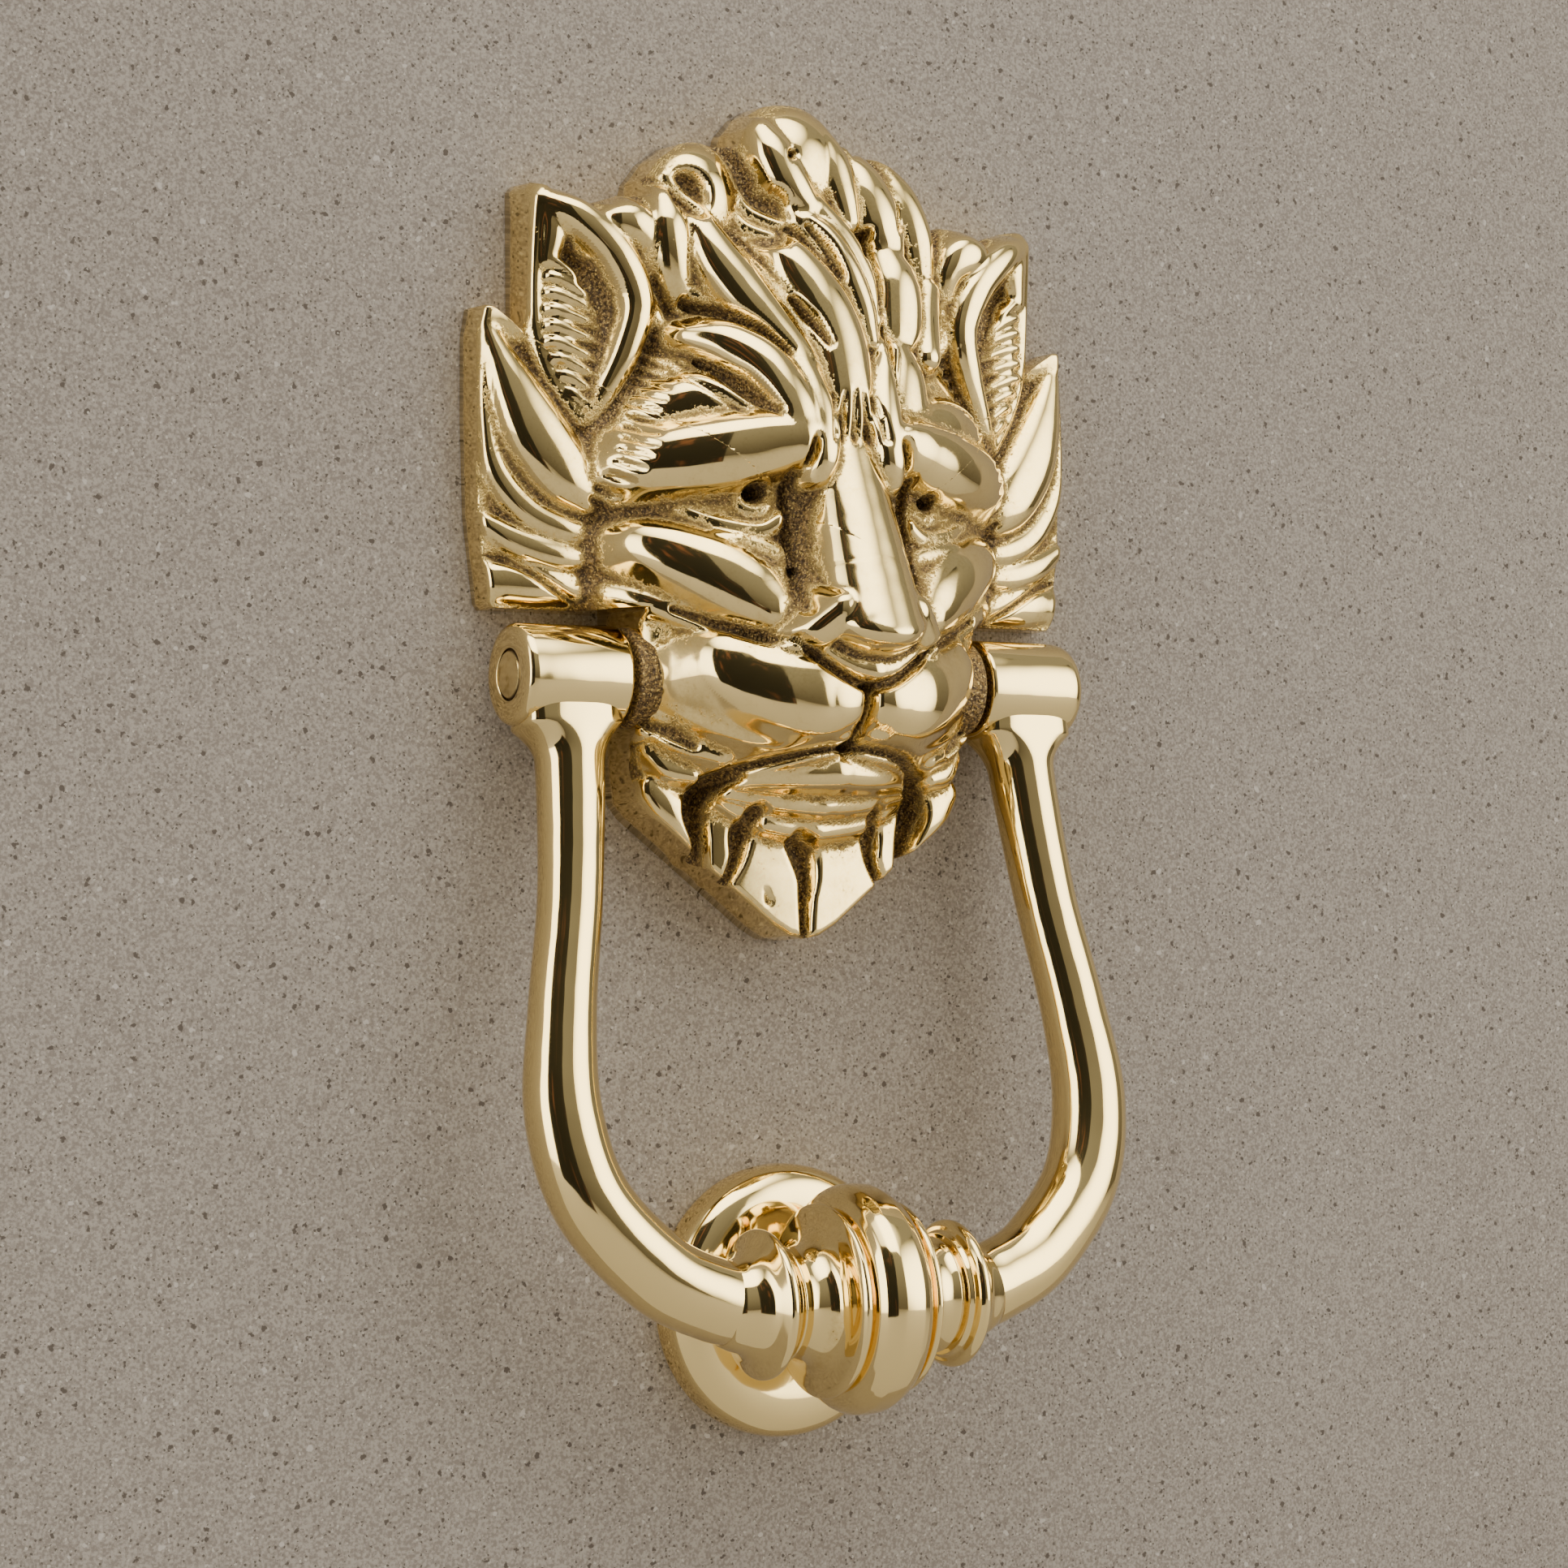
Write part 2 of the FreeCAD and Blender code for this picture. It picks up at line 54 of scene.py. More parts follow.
# Half of the outline, from the chin to the crown: distance from the centreline, height.
MASK_OUTLINE = [
    (0.0, -36.4), (2.4, -36.0), (5.0, -34.5), (14.5, -27.0), (24.4, -19.2), (26.0, -17.2), (27.0, -8.0),
    (27.3, 0.0), (27.2, 9.3), (45.9, 9.3), (46.6, 10.2), (48.0, 22.0), (48.3, 36.0), (48.2, 47.0),
    (47.5, 51.0), (46.6, 51.0), (44.0, 49.3), (41.8, 47.4), (41.2, 50.0), (41.2, 67.6), (40.4, 68.6),
    (37.0, 68.0), (32.5, 66.4), (30.0, 65.8), (28.2, 67.4), (25.9, 67.8), (24.0, 67.4), (23.2, 70.4),
    (20.8, 73.6), (17.5, 76.0), (13.3, 77.1), (10.6, 76.8), (8.9, 76.2), (8.2, 78.6), (5.8, 81.4),
    (3.2, 83.0), (0.0, 83.5),
]
MASK_MIDDLE = (0.0, 16.0)  # every point of the outline can be seen from here

# Forms that repeat on both sides. Each station: distance from the centreline, height,
# depth of the crest off the door, half width.
PAIRED_FORMS = {
    "brow": [
        (30.4, 28.0, 12.2, 3.4), (25.0, 29.2, 19.0, 4.9), (17.2, 30.4, 24.2, 5.2), (10.8, 31.8, 26.8, 4.2),
        (8.0, 32.6, 27.6, 2.8),
    ],
    "nose_lock": [
        (8.4, 46.4, 21.6, 1.8), (6.2, 41.0, 24.6, 2.2), (5.2, 35.0, 27.0, 2.4), (5.4, 30.4, 27.8, 2.2),
        (5.8, 27.4, 26.8, 1.7),
    ],
    "eyelid_top": [(21.0, 24.6, 18.0, 0.9), (16.2, 26.9, 21.4, 1.0), (12.0, 26.9, 22.8, 0.9)],
    "eyeball": [(16.2, 24.4, 19.6, 2.2), (13.6, 24.4, 20.8, 2.8), (11.6, 24.8, 20.8, 1.8)],
    "eyelid_low": [
        (16.4, 24.8, 20.4, 0.7), (15.4, 23.0, 21.2, 0.9), (13.6, 22.4, 21.8, 1.0), (12.0, 23.2, 22.0, 0.8),
        (11.2, 24.8, 21.8, 0.6),
    ],
    "eye_bag_high": [
        (22.6, 22.6, 17.4, 1.0), (18.0, 20.6, 20.4, 1.3), (13.0, 19.8, 22.4, 1.4), (10.2, 21.4, 23.2, 1.2),
    ],
    "eye_bag_low": [
        (19.2, 18.8, 20.8, 1.1), (14.4, 17.6, 22.6, 1.6), (10.8, 16.0, 23.6, 1.7), (9.8, 13.6, 24.0, 1.1),
    ],
    "cheek": [
        (29.8, 18.4, 10.8, 2.9), (25.4, 17.4, 17.0, 4.5), (19.6, 14.6, 22.0, 5.4), (14.8, 11.4, 25.0, 4.9),
        (12.2, 8.8, 26.4, 3.1),
    ],
    "cheek_fold": [
        (29.6, 11.6, 11.0, 2.2), (25.6, 10.0, 15.4, 2.2), (19.6, 7.2, 19.8, 1.9), (15.4, 5.8, 22.0, 1.2),
    ],
    "cheek_inner": [(11.6, 13.6, 24.4, 1.4), (10.2, 10.4, 25.4, 1.4), (10.0, 7.6, 26.4, 1.3)],
    "nostril": [(5.4, 8.4, 33.4, 2.6), (8.2, 5.8, 31.0, 2.6), (10.8, 4.8, 28.4, 1.5)],
    "nose_pad": [(6.4, 2.4, 29.6, 1.4), (3.2, 0.9, 30.6, 1.8), (0.0, 0.4, 31.2, 2.0)],
    "muzzle": [
        (24.0, 4.6, 10.6, 2.0), (20.6, 3.6, 15.8, 3.6), (16.6, 1.2, 22.8, 5.8), (12.0, -1.2, 26.4, 6.7),
        (7.4, -2.8, 29.4, 6.4), (4.6, -3.2, 30.0, 4.7),
    ],
    "muzzle_lip": [
        (23.6, -3.4, 14.2, 1.7), (17.6, -6.6, 20.0, 2.2), (10.4, -8.6, 24.0, 1.9), (3.2, -7.6, 27.0, 2.0),
    ],
    "lip_side": [(25.0, -4.2, 12.0, 1.9), (21.6, -8.0, 15.0, 2.7), (16.6, -10.8, 17.8, 1.6)],
    "whisker_bead": [(24.2, 1.8, 13.2, 1.4), (24.4, -1.2, 12.8, 1.3)],
    "lug_cover": [
        (26.2, 8.6, 12.6, 1.5), (26.2, 3.0, 12.2, 1.6), (26.2, -3.0, 11.8, 1.6), (25.6, -7.0, 12.0, 1.7),
    ],
    "ear_tip": [(39.2, 66.8, 8.4, 1.5), (37.6, 63.0, 9.6, 2.4), (38.4, 57.6, 8.8, 1.5)],
    "jaw_pit_fold": [(24.6, -10.2, 11.4, 1.6), (22.4, -12.6, 13.0, 1.6), (19.4, -13.6, 14.0, 1.0)],
    "jaw_plane": [(23.6, -15.6, 11.0, 2.6), (20.8, -18.6, 11.6, 3.8), (18.6, -22.6, 11.0, 3.0)],
    "leaf": [
        (47.0, 49.2, 5.6, 0.8), (45.2, 44.2, 7.2, 2.2), (42.8, 38.6, 9.0, 3.9), (40.0, 33.2, 10.4, 4.9),
        (36.4, 28.2, 11.2, 4.6), (33.4, 25.2, 10.8, 3.0),
    ],
    "leaf_rim": [
        (47.4, 46.6, 5.7, 0.9), (47.0, 36.0, 6.2, 1.5), (45.4, 28.4, 6.9, 2.0), (41.2, 23.0, 8.0, 2.2),
        (36.2, 20.4, 8.9, 2.0), (31.4, 19.8, 9.0, 1.5),
    ],
    "leaf_small": [
        (47.0, 21.0, 5.9, 1.4), (42.2, 18.4, 7.4, 2.1), (36.8, 16.8, 8.4, 2.1), (31.8, 16.6, 8.4, 1.6),
    ],
    "leaf_panel": [(45.6, 13.0, 5.8, 3.2), (39.6, 13.0, 7.2, 3.6), (33.0, 13.0, 7.4, 3.0)],
    "ear_inner_rim": [
        (39.4, 66.0, 8.8, 1.5), (34.6, 63.4, 11.8, 2.3), (29.4, 58.4, 13.2, 2.5), (26.6, 52.0, 13.4, 2.4),
        (27.9, 45.6, 12.6, 2.2), (30.6, 39.4, 11.0, 1.8), (32.4, 35.6, 9.6, 1.6),
    ],
    "ear_outer_rim": [
        (39.6, 65.8, 8.8, 1.6), (39.9, 58.0, 7.9, 1.7), (39.7, 49.0, 7.4, 1.4), (37.6, 41.6, 7.8, 1.3),
        (33.4, 35.6, 9.2, 1.5),
    ],
    "ear_leaf": [
        (38.4, 58.6, 7.4, 0.6), (36.6, 52.6, 8.6, 1.5), (36.0, 46.6, 8.8, 1.9), (34.2, 40.6, 8.8, 1.4),
    ],
    "ear_bowl": [(32.2, 56.0, 8.2, 1.6), (30.6, 50.0, 8.8, 2.4), (31.8, 43.6, 8.6, 1.8)],
    "small_lobe": [
        (31.2, 62.8, 11.4, 1.8), (27.4, 63.0, 13.4, 3.1), (24.6, 60.2, 13.0, 2.2), (24.0, 56.6, 12.0, 1.4),
    ],
    "temple_strand": [(27.0, 57.0, 11.8, 0.9), (24.8, 52.6, 12.0, 1.3), (22.8, 48.6, 12.0, 1.1)],
    "lower_lip": [(12.8, -14.0, 16.0, 1.4), (6.6, -13.2, 20.2, 2.3), (0.0, -12.9, 21.6, 2.6)],
    "lip_fold": [(13.8, -15.8, 13.8, 1.1), (6.8, -17.0, 16.4, 1.5), (0.0, -17.4, 17.2, 1.7)],
    "chin_crescent": [(14.6, -16.6, 12.4, 1.0), (8.0, -19.6, 13.8, 1.6), (0.0, -20.9, 14.4, 1.8)],
}
# The broad facets are flatter across than the rest.
BROAD_FORMS = {"brow": 0.68, "cheek": 0.78, "muzzle": 0.66}
# Forms that don't repeat. The first number is signed: minus is the side of the left ear.
SINGLE_FORMS = {
    "forehead_lobe": [
        (-7.6, 31.2, 27.6, 2.6), (-9.0, 36.8, 26.6, 3.7), (-11.8, 42.4, 24.0, 4.0),
        (-16.0, 45.8, 20.4, 3.4), (-20.4, 47.0, 16.4, 1.8),
    ],
    "temple_facet": [
        (-28.0, 33.2, 12.4, 3.4), (-23.0, 36.0, 17.0, 5.0), (-17.2, 37.6, 20.6, 5.0),
        (-13.0, 37.2, 22.8, 3.2),
    ],
    "right_brow_dome": [
        (27.6, 33.6, 12.8, 3.4), (23.0, 35.2, 17.6, 5.2), (17.6, 35.6, 21.6, 5.4), (13.4, 34.6, 23.8, 3.6),
    ],
    "lock_a": [
        (-6.6, 61.0, 16.5, 2.4), (-4.6, 57.6, 19.4, 4.0), (-1.8, 52.6, 21.8, 4.9), (-0.2, 47.0, 23.6, 5.2),
        (0.2, 41.0, 25.2, 4.8), (0.3, 37.0, 25.8, 4.0), (0.2, 34.0, 25.4, 3.2),
    ],
    "lock_a_strand": [
        (-3.2, 65.6, 14.5, 1.4), (0.6, 62.8, 17.4, 2.0), (3.2, 58.0, 19.6, 2.0), (5.0, 52.5, 20.8, 1.8),
        (5.6, 47.5, 21.6, 1.2),
    ],
    "lock_a_edge": [
        (0.6, 67.6, 14.8, 1.9), (4.4, 62.2, 17.0, 2.1), (7.0, 55.8, 18.6, 1.9), (7.8, 49.0, 19.6, 1.7),
        (7.0, 43.0, 21.0, 1.4),
    ],
    "lock_b": [
        (-17.6, 63.4, 14.5, 2.4), (-15.6, 58.6, 16.8, 3.6), (-12.2, 53.2, 19.2, 3.9),
        (-8.8, 48.0, 21.4, 3.4), (-6.0, 43.4, 23.4, 2.6), (-4.0, 38.5, 24.6, 1.7),
    ],
    "lock_b_strand": [
        (-12.4, 59.6, 15.4, 0.9), (-9.2, 55.4, 17.8, 1.3), (-6.0, 50.4, 20.2, 1.4), (-4.2, 45.4, 22.0, 1.1),
    ],
    "lock_b_under": [
        (-20.0, 57.0, 12.4, 1.4), (-17.2, 52.6, 14.2, 1.9), (-12.8, 49.2, 16.4, 1.8),
        (-8.8, 46.0, 19.0, 1.4),
    ],
    "lock_c": [
        (-22.4, 66.4, 12.8, 2.0), (-21.8, 61.8, 14.6, 3.1), (-20.8, 56.4, 14.0, 3.1),
        (-19.0, 51.6, 12.6, 2.0),
    ],
    "crown_strand": [
        (-5.8, 77.6, 12.0, 2.6), (-4.8, 74.4, 14.0, 3.3), (-3.0, 70.4, 15.2, 3.2), (-0.6, 67.0, 15.4, 2.2),
    ],
    "crown_side": [
        (2.8, 78.4, 11.2, 3.0), (4.6, 74.2, 13.4, 3.3), (5.6, 69.6, 14.6, 2.6), (6.2, 65.6, 15.2, 1.8),
    ],
    "right_lock_one": [
        (8.8, 75.0, 10.8, 3.0), (10.2, 70.8, 13.6, 4.2), (11.8, 65.8, 15.2, 4.2), (13.0, 61.8, 15.2, 2.8),
    ],
    "right_lock_two": [
        (15.0, 74.8, 8.8, 2.5), (17.6, 70.4, 11.0, 3.4), (19.2, 65.0, 12.4, 3.2), (19.8, 59.6, 12.6, 2.4),
    ],
    "right_bulb_high": [
        (12.4, 60.4, 15.6, 2.9), (13.2, 56.0, 17.6, 4.3), (12.8, 50.6, 18.6, 4.2), (12.0, 47.8, 18.6, 2.8),
    ],
    "right_bulb_low": [
        (11.6, 46.8, 19.0, 2.4), (11.6, 42.2, 21.2, 4.2), (10.8, 36.6, 22.8, 4.6), (9.8, 32.4, 23.4, 3.4),
    ],
    "right_side_lock": [(20.6, 57.0, 13.4, 1.9), (18.4, 51.6, 16.4, 2.3), (17.0, 46.2, 19.0, 2.0)],
    "right_far_lock": [(23.6, 60.4, 10.4, 2.0), (22.8, 54.6, 11.8, 2.6), (22.0, 49.0, 12.0, 2.0)],
}
# Round domes that roll right down to the outline: x, height, depth, half width, half height.
DOMES = [
    (0.0, 72.0, 14.0, 9.8, 11.8), (-15.6, 67.0, 12.6, 8.6, 10.4), (15.6, 67.0, 11.6, 8.6, 10.4),
    (-26.2, 61.4, 10.6, 4.6, 6.6), (26.2, 61.4, 10.6, 4.6, 6.6),
]
# Hollows cut back into the forms: x, height, half width, half height, tilt in degrees, floor, rim depth.
HOLLOWS = [
    (-8.0, 65.4, 4.2, 4.8, 28.0, 9.6, 13.8),
    (-18.6, 68.4, 3.6, 4.2, -24.0, 8.4, 12.8),
    (13.9, 25.0, 1.5, 1.1, 0.0, 17.5, 22.4),
    (-13.9, 25.0, 1.75, 1.25, 0.0, 16.0, 22.0),
    (15.2, 67.6, 0.8, 2.6, 15.0, 8.6, 12.2),
    (8.4, 62.8, 1.0, 2.6, 30.0, 10.0, 15.0),
    (7.6, 30.4, 0.7, 2.6, -14.0, 22.0, 26.8),
    (-7.6, 30.4, 0.6, 2.4, 14.0, 22.5, 26.8),
    (-9.0, 75.6, 0.6, 1.6, -30.0, 9.0, 12.2),
    (-2.8, 74.4, 1.0, 0.6, -30.0, 10.4, 14.2),
]
# Grooves: depth of the cut, then stations of signed x, height, half width.
GROOVES = [
    (3.2, [(-2.4, -22.2, 1.7), (-0.8, -24.0, 2.4), (0.2, -27.5, 1.8), (0.0, -31.0, 1.2), (0.1, -35.5, 0.9)]),
    (1.3, [(-6.5, -29.4, 0.15), (-6.3, -30.3, 0.3), (-6.1, -31.0, 0.5)]),
    (2.6, [(-1.6, 64.0, 0.5), (0.6, 60.6, 0.7), (2.0, 56.6, 0.5)]),
    (3.2, [(-6.4, 52.6, 0.5), (-4.2, 49.6, 0.9), (-2.6, 46.4, 0.5)]),
    (2.8, [(-19.6, 43.4, 0.4), (-15.4, 39.8, 1.6), (-11.8, 36.0, 0.5)]),
    (1.3, [(-23.0, 41.6, 0.25), (-19.2, 38.6, 0.4), (-15.6, 35.6, 0.3)]),
    (1.3, [(-22.0, 43.6, 0.25), (-18.0, 40.4, 0.4), (-14.0, 37.2, 0.3)]),
    (3.4, [(8.8, 50.0, 0.7), (8.4, 45.0, 1.1), (8.2, 40.0, 0.8), (8.6, 36.0, 0.4)]),
    (2.6, [(8.6, 62.0, 0.7), (9.0, 57.0, 0.9), (8.8, 52.0, 0.7)]),
    (3.0, [(-20.0, 52.0, 0.8), (-16.2, 50.6, 1.0), (-12.0, 48.0, 0.9), (-8.6, 44.6, 0.5)]),
]
# The same again, on both sides.
PAIRED_GROOVES = [
    (2.8, [(9.6, -18.4, 1.5), (10.5, -21.4, 2.0), (11.0, -25.0, 1.3), (12.6, -28.6, 0.8)]),
    (4.2, [(13.6, -13.8, 0.8), (16.4, -15.4, 1.9), (17.8, -18.2, 2.5), (17.0, -21.6, 2.0),
           (16.2, -26.0, 1.2)]),
    (1.6, [(46.6, 16.6, 0.3), (41.5, 14.6, 0.6), (36.8, 11.8, 0.6), (34.2, 10.4, 0.3)]),
    (3.2, [(17.4, -14.0, 0.7), (12.4, -12.2, 0.85), (6.4, -10.6, 0.7), (0.0, -9.6, 0.8)]),
    (2.8, [(11.2, 4.6, 0.5), (7.0, 1.4, 0.8), (3.4, -0.8, 0.9), (0.0, -1.8, 0.9)]),
    (2.2, [(0.4, -1.6, 0.6), (0.3, -4.4, 0.8), (0.2, -8.8, 1.1)]),
    (2.2, [(9.6, 27.6, 0.8), (9.4, 22.0, 0.9), (9.4, 15.0, 0.8), (9.9, 8.6, 0.7)]),
    (2.0, [(24.2, 9.0, 0.6), (19.0, 6.6, 0.8), (14.4, 4.8, 0.8), (11.2, 4.6, 0.5)]),
    (2.0, [(26.4, -6.2, 0.9), (23.4, -7.8, 1.2), (20.4, -9.8, 0.5)]),
]


def through(stations, step):
    """A smooth curve through the stations (Catmull-Rom), as rows at most about a step apart."""
    stations = np.array(stations, float)
    ends = np.vstack([2 * stations[0] - stations[1], stations, 2 * stations[-1] - stations[-2]])
    length = np.linalg.norm(np.diff(stations[:, :2], axis=0), axis=1).sum()
    t = np.linspace(0, len(stations) - 1 - 1e-9, max(3, int(length / step)))
    i = t.astype(int)
    f = (t - i)[:, None]
    a, b, c, d = ends[i], ends[i + 1], ends[i + 2], ends[i + 3]
    return b + 0.5 * f * (c - a + f * (2 * a - 5 * b + 4 * c - d + f * (3 * (b - c) + d - a)))


def window(x, z, reach):
    """The part of the height map within a reach of a run of points."""
    columns = slice(*np.searchsorted(MAP_X, [x.min() - reach, x.max() + reach]))
    rows = slice(*np.searchsorted(MAP_Z, [z.min() - reach, z.max() + reach]))
    return rows, columns


def lay(height, stations, fullness=0.85, blend=0.45):
    """Lay a lock: beads along a curve, each its crest less its fullness times
    (1 - (1 - rho^2.4)^(1/2.4)), then a steep skirt; the greater height wins, with a small fillet."""
    run = through(stations, 0.45)
    reach = run[:, 3].max() + 5.0
    rows, columns = window(run[:, 0], run[:, 1], reach)
    if rows.start == rows.stop or columns.start == columns.stop:
        return
    x = MAP_X[None, columns, None]
    z = MAP_Z[rows, None, None]
    away = np.sqrt((x - run[:, 0]) ** 2 + (z - run[:, 1]) ** 2) / run[:, 3]
    round_part = 1 - (1 - np.minimum(away, 0.96) ** 2.4) ** (1 / 2.4)
    lock = (run[:, 2] - run[:, 3] * fullness * (round_part + 2.6 * np.maximum(away - 0.96, 0))).max(axis=2)
    here = height[rows, columns]
    near = np.maximum(blend - np.abs(lock - here), 0)
    height[rows, columns] = np.maximum(lock, here) + near ** 2 / (4 * blend)


def cut_groove(height, depth, stations):
    """Cut a groove along a curve: depth times (1 - rho^2)^1.5 off the surface."""
    run = through(stations, 0.3)
    rows, columns = window(run[:, 0], run[:, 1], run[:, 2].max() + 1)
    x = MAP_X[None, columns, None]
    z = MAP_Z[rows, None, None]
    away = (np.sqrt((x - run[:, 0]) ** 2 + (z - run[:, 1]) ** 2) / run[:, 2]).min(axis=2)
    height[rows, columns] -= depth * np.maximum(1 - away ** 2, 0) ** 1.5


def soften(values, radius):
    """Spread a map with a bell curve of that radius, rows then columns, through their spectra."""
    for axis, step in ((0, MAP_STEP), (1, MAP_STEP)):
        count = values.shape[axis]
        padded = np.concatenate([values, np.flip(values, axis)], axis)
        bell = np.exp(-2 * (np.pi * np.fft.rfftfreq(2 * count, step) * radius) ** 2)
        shape = [1, 1]
        shape[axis] = -1
        spread = np.fft.irfft(np.fft.rfft(padded, axis=axis) * bell.reshape(shape), 2 * count, axis=axis)
        values = np.take(spread, np.arange(count), axis)
    return values


MAP_STEP = 0.2
MAP_X = np.arange(-50.0, 50.01, MAP_STEP)
MAP_Z = np.arange(-38.0, 85.01, MAP_STEP)
map_x, map_z = np.meshgrid(MAP_X, MAP_Z)
RIM_LEVEL = 4.8  # the ground's height off the door near the outline


def ground_level():
    """The rough ground between the forms: low at the rim, a dome of 22.5 sqrt(1 - rho) under the face
    where rho = |x / 32.5|^2.4 + |(z - 17) / tall|^3.2, lower under the mane, and the flat beard."""
    rho = (np.abs(map_x) / 32.5) ** 2.4 + (np.abs(map_z - 17.0) / np.where(map_z > 17, 46.0, 32.0)) ** 3.2
    face = 22.5 * np.sqrt(np.maximum(1 - rho, 0))
    mane_fall = np.clip((map_z - 40) / 34, 0, 1)
    level = np.maximum(face - 9.0 * mane_fall, RIM_LEVEL)
    above_face = 1 / (1 + np.exp(-(map_z - 36 - 0.25 * np.abs(map_x)) / 0.8))
    ear = above_face / (1 + np.exp(-(np.abs(map_x) - 27) / 0.8))
    level = np.maximum(level * (1 - 0.6 * ear), RIM_LEVEL + 1.6 * ear)
    beard = 11.6 - 0.0045 * map_x ** 2 - 0.06 * np.maximum(-20 - map_z, 0)
    below = 1 / (1 + np.exp((map_z + 13.5 - 0.1 * np.abs(map_x)) / 0.7))
    return level * (1 - below) + beard * below


height = ground_level()
for name, stations in PAIRED_FORMS.items():
    for side in (1, -1):
        lay(height, [(side * x, z, depth, half) for x, z, depth, half in stations],
            fullness=BROAD_FORMS.get(name, 0.85))
for stations in SINGLE_FORMS.values():
    lay(height, stations, fullness=1.05, blend=0.35)
for x, z, depth, half_width, half_height in DOMES:
    away = ((map_x - x) / half_width) ** 2 + ((map_z - z) / half_height) ** 2
    dome = depth - 9.0 * (1 - np.sqrt(1 - np.minimum(away, 0.97))) - 40 * np.maximum(away - 0.97, 0)
    height = np.maximum(height, dome)

# The wavy ribs in each ear, longest in the middle.
for side in (1, -1):
    for step in range(9):
        z = 57.4 - 2.25 * step
        outer = 38.8 - 0.9 * max(step - 5, 0)
        reach = (4.4, 6.2, 7.6, 8.6, 8.6, 7.8, 6.8, 5.4, 3.8)[step]
        rib = ((outer - 0.6, z, 8.8, 0.6), (outer - 0.4 * reach, z - 0.7, 9.3, 0.65),
               (outer - 0.8 * reach, z - 2.2, 9.6, 0.55), (outer - reach, z - 3.8, 9.0, 0.3))
        lay(height, [(side * x, z_here, depth, half) for x, z_here, depth, half in rib], blend=0.2)


def nose_bar():
    """The nose: a bar that widens and stands out further and further down to its rounded tip. Across
    it the height falls by 1.1 half widths times (1 - sqrt(1 - rho^2)), then as a steep wall."""
    drop = np.clip((31.0 - map_z) / 28.0, -0.1, 1.1)
    crest = 26.4 + 11.6 * drop
    half = 6.0 + 2.3 * np.maximum(drop, 0) ** 1.1
    across = np.abs(map_x) / half
    side_fall = 1.1 * half * (1 - np.sqrt(1 - np.minimum(across, 0.93) ** 2))
    side_fall += 2.4 * half * np.maximum(across - 0.93, 0)
    top_fall = 1.6 * np.maximum(map_z - 32.6, 0) ** 1.5
    tip = np.maximum(5.4 - map_z + 0.04 * map_x ** 2, 0)
    tip_fall = 0.5 * np.minimum(tip, 2.4) ** 2 + 4.0 * np.maximum(tip - 2.4, 0)
    return crest - side_fall - top_fall - tip_fall


height = np.maximum(height, nose_bar())
for x, z, half_width, half_height, tilt, floor, rim in HOLLOWS:
    turn = math.radians(tilt)
    across = (map_x - x) * math.cos(turn) - (map_z - z) * math.sin(turn)
    along = (map_x - x) * math.sin(turn) + (map_z - z) * math.cos(turn)
    away = (across / half_width) ** 2 + (along / half_height) ** 2
    height = np.where(away < 1.3, np.minimum(height, floor + (rim - floor) * away ** 1.2), height)
for depth, stations in GROOVES:
    cut_groove(height, depth, stations)
for depth, stations in PAIRED_GROOVES:
    for side in (1, -1):
        cut_groove(height, depth, [(side * x, z, half) for x, z, half in stations])
for side in (1, -1):
    for step in range(14):
        along = step / 13
        x = 30.6 - 8.4 * along
        z = 22.6 + 21.4 * along
        cut_groove(height, 1.6, [(side * (x + 2.6), z + 1.6, 0.5), (side * (x + 1.4), z + 0.8, 0.45),
                                 (side * (x + 0.2), z + 0.3, 0.2)])
for step in range(5):
    x = -3.6 + 1.8 * step
    top = 39.4 - 0.3 * abs(step - 2)
    cut_groove(height, 1.5, [(x * 0.8, top, 0.25), (x, 36.0, 0.5), (x * 1.15, 32.6, 0.6)])
for outer, middle, inner in (
    ((-12.4, 66.8, 9.0), (-10.6, 62.6, 11.4), (-6.4, 61.0, 13.6)),
    ((-11.4, 68.4, 9.6), (-9.6, 64.2, 11.8), (-5.8, 62.4, 13.8)),
    ((-10.4, 69.6, 10.2), (-8.4, 66.2, 11.4), (-4.6, 64.2, 13.6)),
    ((-21.2, 70.6, 10.2), (-19.0, 67.6, 10.8), (-16.6, 65.4, 12.4)),
):
    lay(height, [(*outer, 0.7), (*middle, 0.9), (*inner, 0.7)], blend=0.3)
height = soften(height, 0.2)

# How deep each point lies below the forms round it: the patina stays where polishing can't reach,
# in narrow creases first, then on the low ground of the face.
low_ground = np.clip((11.0 - height) / 2.0, 0, 1) * (np.abs(map_x) < 33.5) * (map_z > -12)
below_near = soften(height, 1.0) - height
below_wide = soften(height, 3.0) - height
shelter = 1.5 * np.maximum(below_near, 0) + 0.42 * np.maximum(below_wide, -1.5)
shelter = shelter + 1.1 * soften(low_ground, 0.6)
socket = np.exp(-((np.abs(map_x) - 11.0) / 5.6) ** 4 - ((map_z - 17.5) / 9.5) ** 4)
shelter = shelter + 0.95 * socket * np.clip((below_wide + 0.6) / 1.2, 0, 1)
# Patches of heavier stain in three pairs of grooves: below the mouth's corners, below the lugs and
# under the ends of the chin.
for strength, x, z, wide, tall in (
    (1.0, 17.2, -17.6, 3.0, 4.4), (0.8, 22.6, -8.6, 3.0, 2.4), (0.6, 10.2, -20.4, 1.8, 2.2),
):
    shelter = shelter + strength * np.exp(-((np.abs(map_x) - x) / wide) ** 2 - ((map_z - z) / tall) ** 2)


